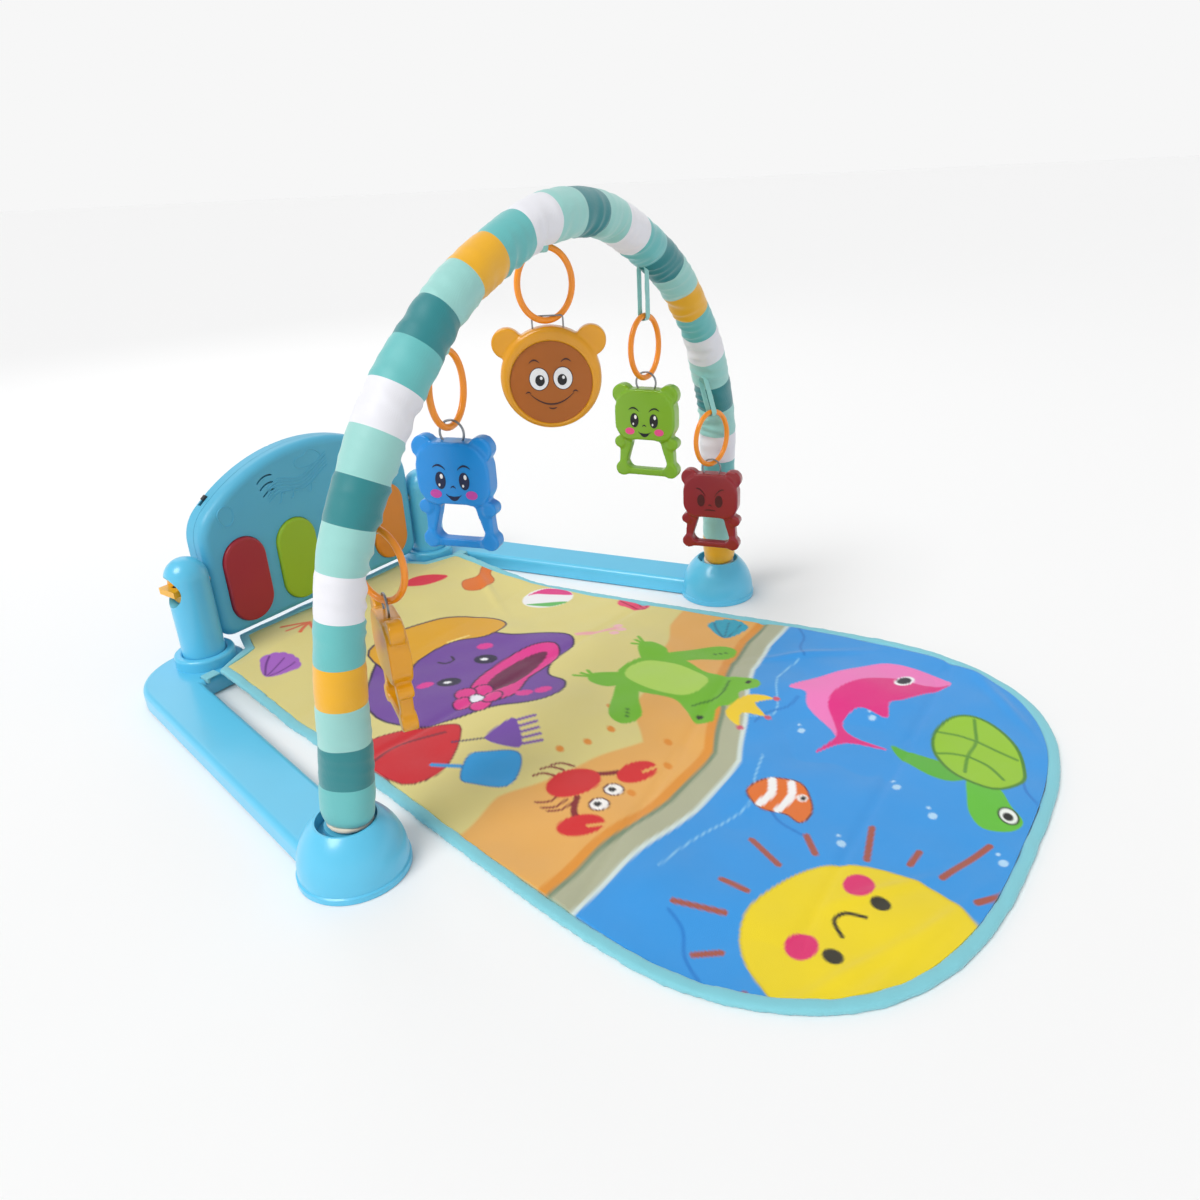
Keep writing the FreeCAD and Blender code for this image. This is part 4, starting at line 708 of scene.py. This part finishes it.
def slab_faces(rows, columns):
    """Faces of a closed slab: a grid of points on top, the same grid underneath, and a rim."""
    count = rows * columns
    faces = []
    for row in range(rows - 1):
        for column in range(columns - 1):
            a = row * columns + column
            b = a + columns
            faces.append((a, a + 1, b + 1, b))
            faces.append((a + count, b + count, b + 1 + count, a + 1 + count))
    edge = list(range(columns)) + [r * columns + columns - 1 for r in range(1, rows)]
    edge += list(range(count - 2, count - columns - 1, -1)) + [r * columns for r in range(rows - 2, 0, -1)]
    for a, b in zip(edge, edge[1:] + edge[:1]):
        faces.append((b, a, a + count, b + count))
    return faces


def make_mat():
    """The printed mat: lumpy on top, flat underneath, with closer rows towards its two ends."""
    low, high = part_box("mat")
    rows, columns = MAT_ROWS, MAT_COLUMNS
    share = np.linspace(0, 1, rows)
    ys = low.y + (high.y - low.y) * (0.35 * share + 0.65 * (share ** 2 * (3 - 2 * share)))
    wide = half_width("mat")(ys)
    x = wide[:, None] * np.linspace(-1, 1, columns)[None, :]
    y = np.repeat(ys[:, None], columns, 1)
    top = lift(y) + MAT_TOP + lumps(x, y)
    bottom = lift(y) + MAT_UNDER
    upper = np.stack([x, y, top], -1).reshape(-1, 3)
    under = np.stack([x, y, bottom], -1).reshape(-1, 3)
    points = np.concatenate([upper, under])
    paper = Print(points[:, 0], points[:, 1])
    paint_ground(paper)
    for drawing in (paint_sun, paint_dolphin, paint_turtle, paint_fish, paint_crab, paint_frog,
                    paint_star_creature, paint_beach_things):
        drawing(paper)
    paper.colour[rows * columns:] = linear((176, 216, 204))
    cloth = surface("printed_mat", (255, 255, 255), colours="print", **CLOTH)
    mat = new_piece("printed_play_mat", points, slab_faces(rows, columns), [cloth],
                    "base")
    layer = mat.data.color_attributes.new("print", "FLOAT_COLOR", "POINT")
    layer.data.foreach_set("color", paper.colour.astype(np.float32).ravel())
    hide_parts("mat")


# ---- toys -------------------------------------------------------------------------------------

def soften(node, name, body, slot, voxel=0.0008, passes=14):
    """A moulded piece in place of a sharp-edged node: the same shape with rounded edges."""
    source = frame["nodes"][node]
    piece = bpy.data.objects.new(name, source.data.copy())
    bpy.context.collection.objects.link(piece)
    remesh = piece.modifiers.new("remesh", "REMESH")
    remesh.mode, remesh.voxel_size = "VOXEL", voxel
    smooth = piece.modifiers.new("smooth", "SMOOTH")
    smooth.iterations, smooth.factor = passes, 0.5
    bpy.context.view_layer.update()
    graph = bpy.context.evaluated_depsgraph_get()
    piece.data = bpy.data.meshes.new_from_object(piece.evaluated_get(graph))
    piece.modifiers.clear()
    piece.data.materials.clear()
    piece.data.materials.append(MATERIALS[slot])
    piece.data.polygons.foreach_set("use_smooth", [True] * len(piece.data.polygons))
    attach(piece, body)
    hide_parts(node)
    return piece


def toy_frame(colour):
    """The top of a toy's head, where its shapes are measured from, with -Y out of its face."""
    joints = {joint["name"]: joint for joint in frame["record"]["behaviour"]["joints"]}
    hinge = Vector(joints["swing_toy_" + colour]["pos_m"])
    hinge.z -= CASE_DROP if colour == "mirror" else BEAR_DROP
    return Matrix.Translation(hinge) @ Matrix.Rotation(math.radians(TOY_TURNS[colour] - 90), 4, "Z")


def flat_shape(name, colour, corners, front, material, rise=0.35):
    """A thin raised shape on a toy's front: corners are (x, z) in mm from the top of its head."""
    where = toy_frame(colour)
    count = len(corners)
    points = [where @ Vector((x * MM, -(front + rise * level) * MM, z * MM))
              for level in (-1, 1) for x, z in corners]
    faces = [tuple(range(count, 2 * count)), tuple(range(count - 1, -1, -1))]
    faces += [(i, (i + 1) % count, (i + 1) % count + count, i + count) for i in range(count)]
    piece = new_piece("%s_%s" % (name, colour), points, faces, [INK[material]], "toy_" + colour)
    piece.data.polygons.foreach_set("use_smooth", [False] * len(piece.data.polygons))
    return piece


def oval_corners(x, z, rx, rz, count=28):
    """Corners of an oval, in mm."""
    return [(x + rx * math.cos(2 * math.pi * k / count), z + rz * math.sin(2 * math.pi * k / count))
            for k in range(count)]


def bow_corners(x, z, half, sag, width, count=14):
    """A curved stroke: sag below zero curves its middle downwards."""
    line = [(x + half * t, z + sag * (1 - t * t)) for t in np.linspace(-1, 1, count)]
    taper = [width / 2 * math.sqrt(max(1 - t * t, 0.04)) for t in np.linspace(-1, 1, count)]
    lower = [(px, pz - w) for (px, pz), w in zip(line, taper)]
    upper = [(px, pz + w) for (px, pz), w in zip(line, taper)]
    return lower + upper[::-1]


def make_bear_face(colour, ink, cheeks, brow_tilt, smile, glints=True):
    """Eyes, brows, nose and mouth; brow_tilt above zero lifts the brows' outer ends, and smile is
    how far the mouth's middle lies above its ends."""
    front = BEAR_FRONT
    for side in (-1, 1):
        tag = "left" if side < 0 else "right"
        flat_shape("eye_" + tag, colour, oval_corners(side * 8.6, -30.5, 3.7, 6), front, ink, 0.3)
        if glints:
            flat_shape("glint_" + tag, colour, oval_corners(side * 8.6 + 1.1, -27.6, 1.1, 1.7), front,
                       "white", 0.45)
            flat_shape("low_glint_" + tag, colour, oval_corners(side * 8.6 - 1, -33.6, 0.7, 1), front,
                       "white", 0.45)
        brow = [(x, z + brow_tilt * side * (x - side * 9)) for x, z in
                bow_corners(side * 9, -22.4, 4.6, 2.4, 1.3)]
        flat_shape("brow_" + tag, colour, brow, front, ink)
        if cheeks:
            flat_shape("cheek_" + tag, colour, oval_corners(side * 13, -40, 4.2, 3), front, cheeks, 0.2)
    flat_shape("nose", colour, bow_corners(0, -35.6, 1.8, 1.2, 1), front, ink)
    flat_shape("mouth", colour, bow_corners(0, -40, 5.6, smile, 1.1), front, ink)
    if smile < 0:
        flat_shape("open_smile", colour, bow_corners(0, -41.4, 4, -1.6, 3), front, ink, 0.25)


def make_mirror_face():
    """Round eyes, brows and a wide smile on the disc of the middle toy."""
    front = CASE_FRONT
    for side in (-1, 1):
        tag = "left" if side < 0 else "right"
        for name, rx, rz, ink, rise in (("eye_ring_", 7.3, 8.4, "brown", 0.2),
                                        ("eye_white_", 6.7, 7.8, "white", 0.3)):
            flat_shape(name + tag, "mirror", oval_corners(side * 8.6, -36.5, rx, rz), front, ink, rise)
        flat_shape("pupil_" + tag, "mirror", oval_corners(side * 8, -37.5, 3.4, 4), front, "black", 0.45)
        flat_shape("glint_" + tag, "mirror", oval_corners(side * 8 + 1, -35.8, 1, 1.2), front, "white", 0.6)
        flat_shape("brow_" + tag, "mirror", bow_corners(side * 11.4, -25, 3.8, 2.2, 1.2), front, "brown")
        flat_shape("smile_end_" + tag, "mirror", bow_corners(side * 17, -46.6, 2, 1, 1), front, "brown")
    flat_shape("smile", "mirror", bow_corners(0, -47, 16, -8, 1.2), front, "brown")
    flat_shape("lip", "mirror", bow_corners(0, -57.4, 3, -0.8, 1), front, "brown")


def soft_piece(node, name, slot, relief, low, high, voxel=0.0009):
    """A cloth or elastic piece in place of a plain solid: rounded, then puckered along its face."""
    piece = soften(node, name, "base", slot, voxel, 8)
    mesh = piece.data
    count = len(mesh.vertices)
    places, normals = np.empty(count * 3), np.empty(count * 3)
    mesh.vertices.foreach_get("co", places)
    mesh.vertex_normals.foreach_get("vector", normals)
    places, normals = places.reshape(-1, 3), normals.reshape(-1, 3)
    x, y, z = places.T
    places += normals * (relief * ripple(x, y, z, seed=len(name), low=low, high=high))[:, None]
    mesh.vertices.foreach_set("co", places.ravel())
    mesh.update()
    return piece


def make_soft_trim():
    """Cuffs, straps and the mat's edge tape."""
    for side in ("left", "right"):
        cuff = soft_piece(side + "_cuff", side + "_ribbed_cuff", "cream_elastic", 0.0002, 300, 900)
        soft_piece(side + "_mat_strap", side + "_webbing", "binding_fabric", 0.0001, 200, 500, 0.0005)
    soft_piece("mat_binding", "edge_binding", "binding_fabric", 0.00025, 150, 420, 0.0013)
    soft_piece("hang_straps", "woven_hangers", "sleeve_fabric", 0.00008, 300, 800, 0.0005)


def make_toys():
    """The four bears and the round toy, with their faces."""
    for colour in ("yellow", "blue", "green", "red"):
        soften("bear_" + colour, "moulded_bear_" + colour, "toy_" + colour, "toy_" + colour)
    soften("face_case", "moulded_face_case", "toy_mirror", "toy_yellow")
    make_bear_face("blue", "navy", "rose", 0.12, -3)
    make_bear_face("green", "black", "pink", 0.12, -3)
    make_bear_face("red", "deep_red", None, 0.8, 0.5, glints=False)
    make_bear_face("yellow", "brown", "pink", 0.12, -3)
    make_mirror_face()


# ---- raised marks on the piano ----------------------------------------------------------------

def raised_line(name, points, thickness=0.55, closed=False):
    """A moulded line on the piano's front: points are (x, z) in mm."""
    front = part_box("piano_front_shell")[0].y
    curve = bpy.data.curves.new(name, "CURVE")
    curve.dimensions = "3D"
    curve.bevel_depth, curve.bevel_resolution = thickness * MM, 2
    spline = curve.splines.new("NURBS")
    spline.points.add(len(points) - 1)
    for point, (x, z) in zip(spline.points, points):
        point.co = (x * MM, front, z * MM, 1)
    spline.order_u = 3
    spline.use_cyclic_u = closed
    spline.use_endpoint_u = not closed
    curve.materials.append(MATERIALS["matte_blue_plastic"])
    piece = bpy.data.objects.new(name, curve)
    bpy.context.collection.objects.link(piece)
    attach(piece, "piano")


def make_piano_marks():
    """Staff lines with notes, a cloud and a gem on each side, all moulded in the case's own plastic."""
    for row in range(5):
        rise = 3.3 * row
        raised_line("staff_line_%d" % row,
                    [(-50, 142 + rise), (-42, 148 + rise), (-32, 149 + rise), (-20, 144 + rise),
                     (-8, 144 + rise), (6, 151 + rise), (22, 160 + rise)], 0.55)
    for number, (x, z) in enumerate(((-40, 138), (-26, 139), (-4, 139))):
        raised_line("note_%d" % number, [(x, z), (x + 4, z), (x + 4, z + 11), (x + 9, z + 8)], 0.7)
    raised_line("cloud", [(-16, 168), (-14, 176), (-4, 175), (2, 182), (12, 178), (18, 170), (8, 165),
                          (-8, 164)], 0.6, True)
    for side in (-1, 1):
        raised_line("gem_%d" % side, [(side * x, z) for x, z in (
            (106, 143), (105, 150), (98, 154), (90, 150), (89, 142), (93, 134), (101, 134))], 0.6, True)


make_camera()
make_studio()
dress_cad_nodes()
make_sleeve()
make_mat()
make_toys()
make_soft_trim()
make_piano_marks()
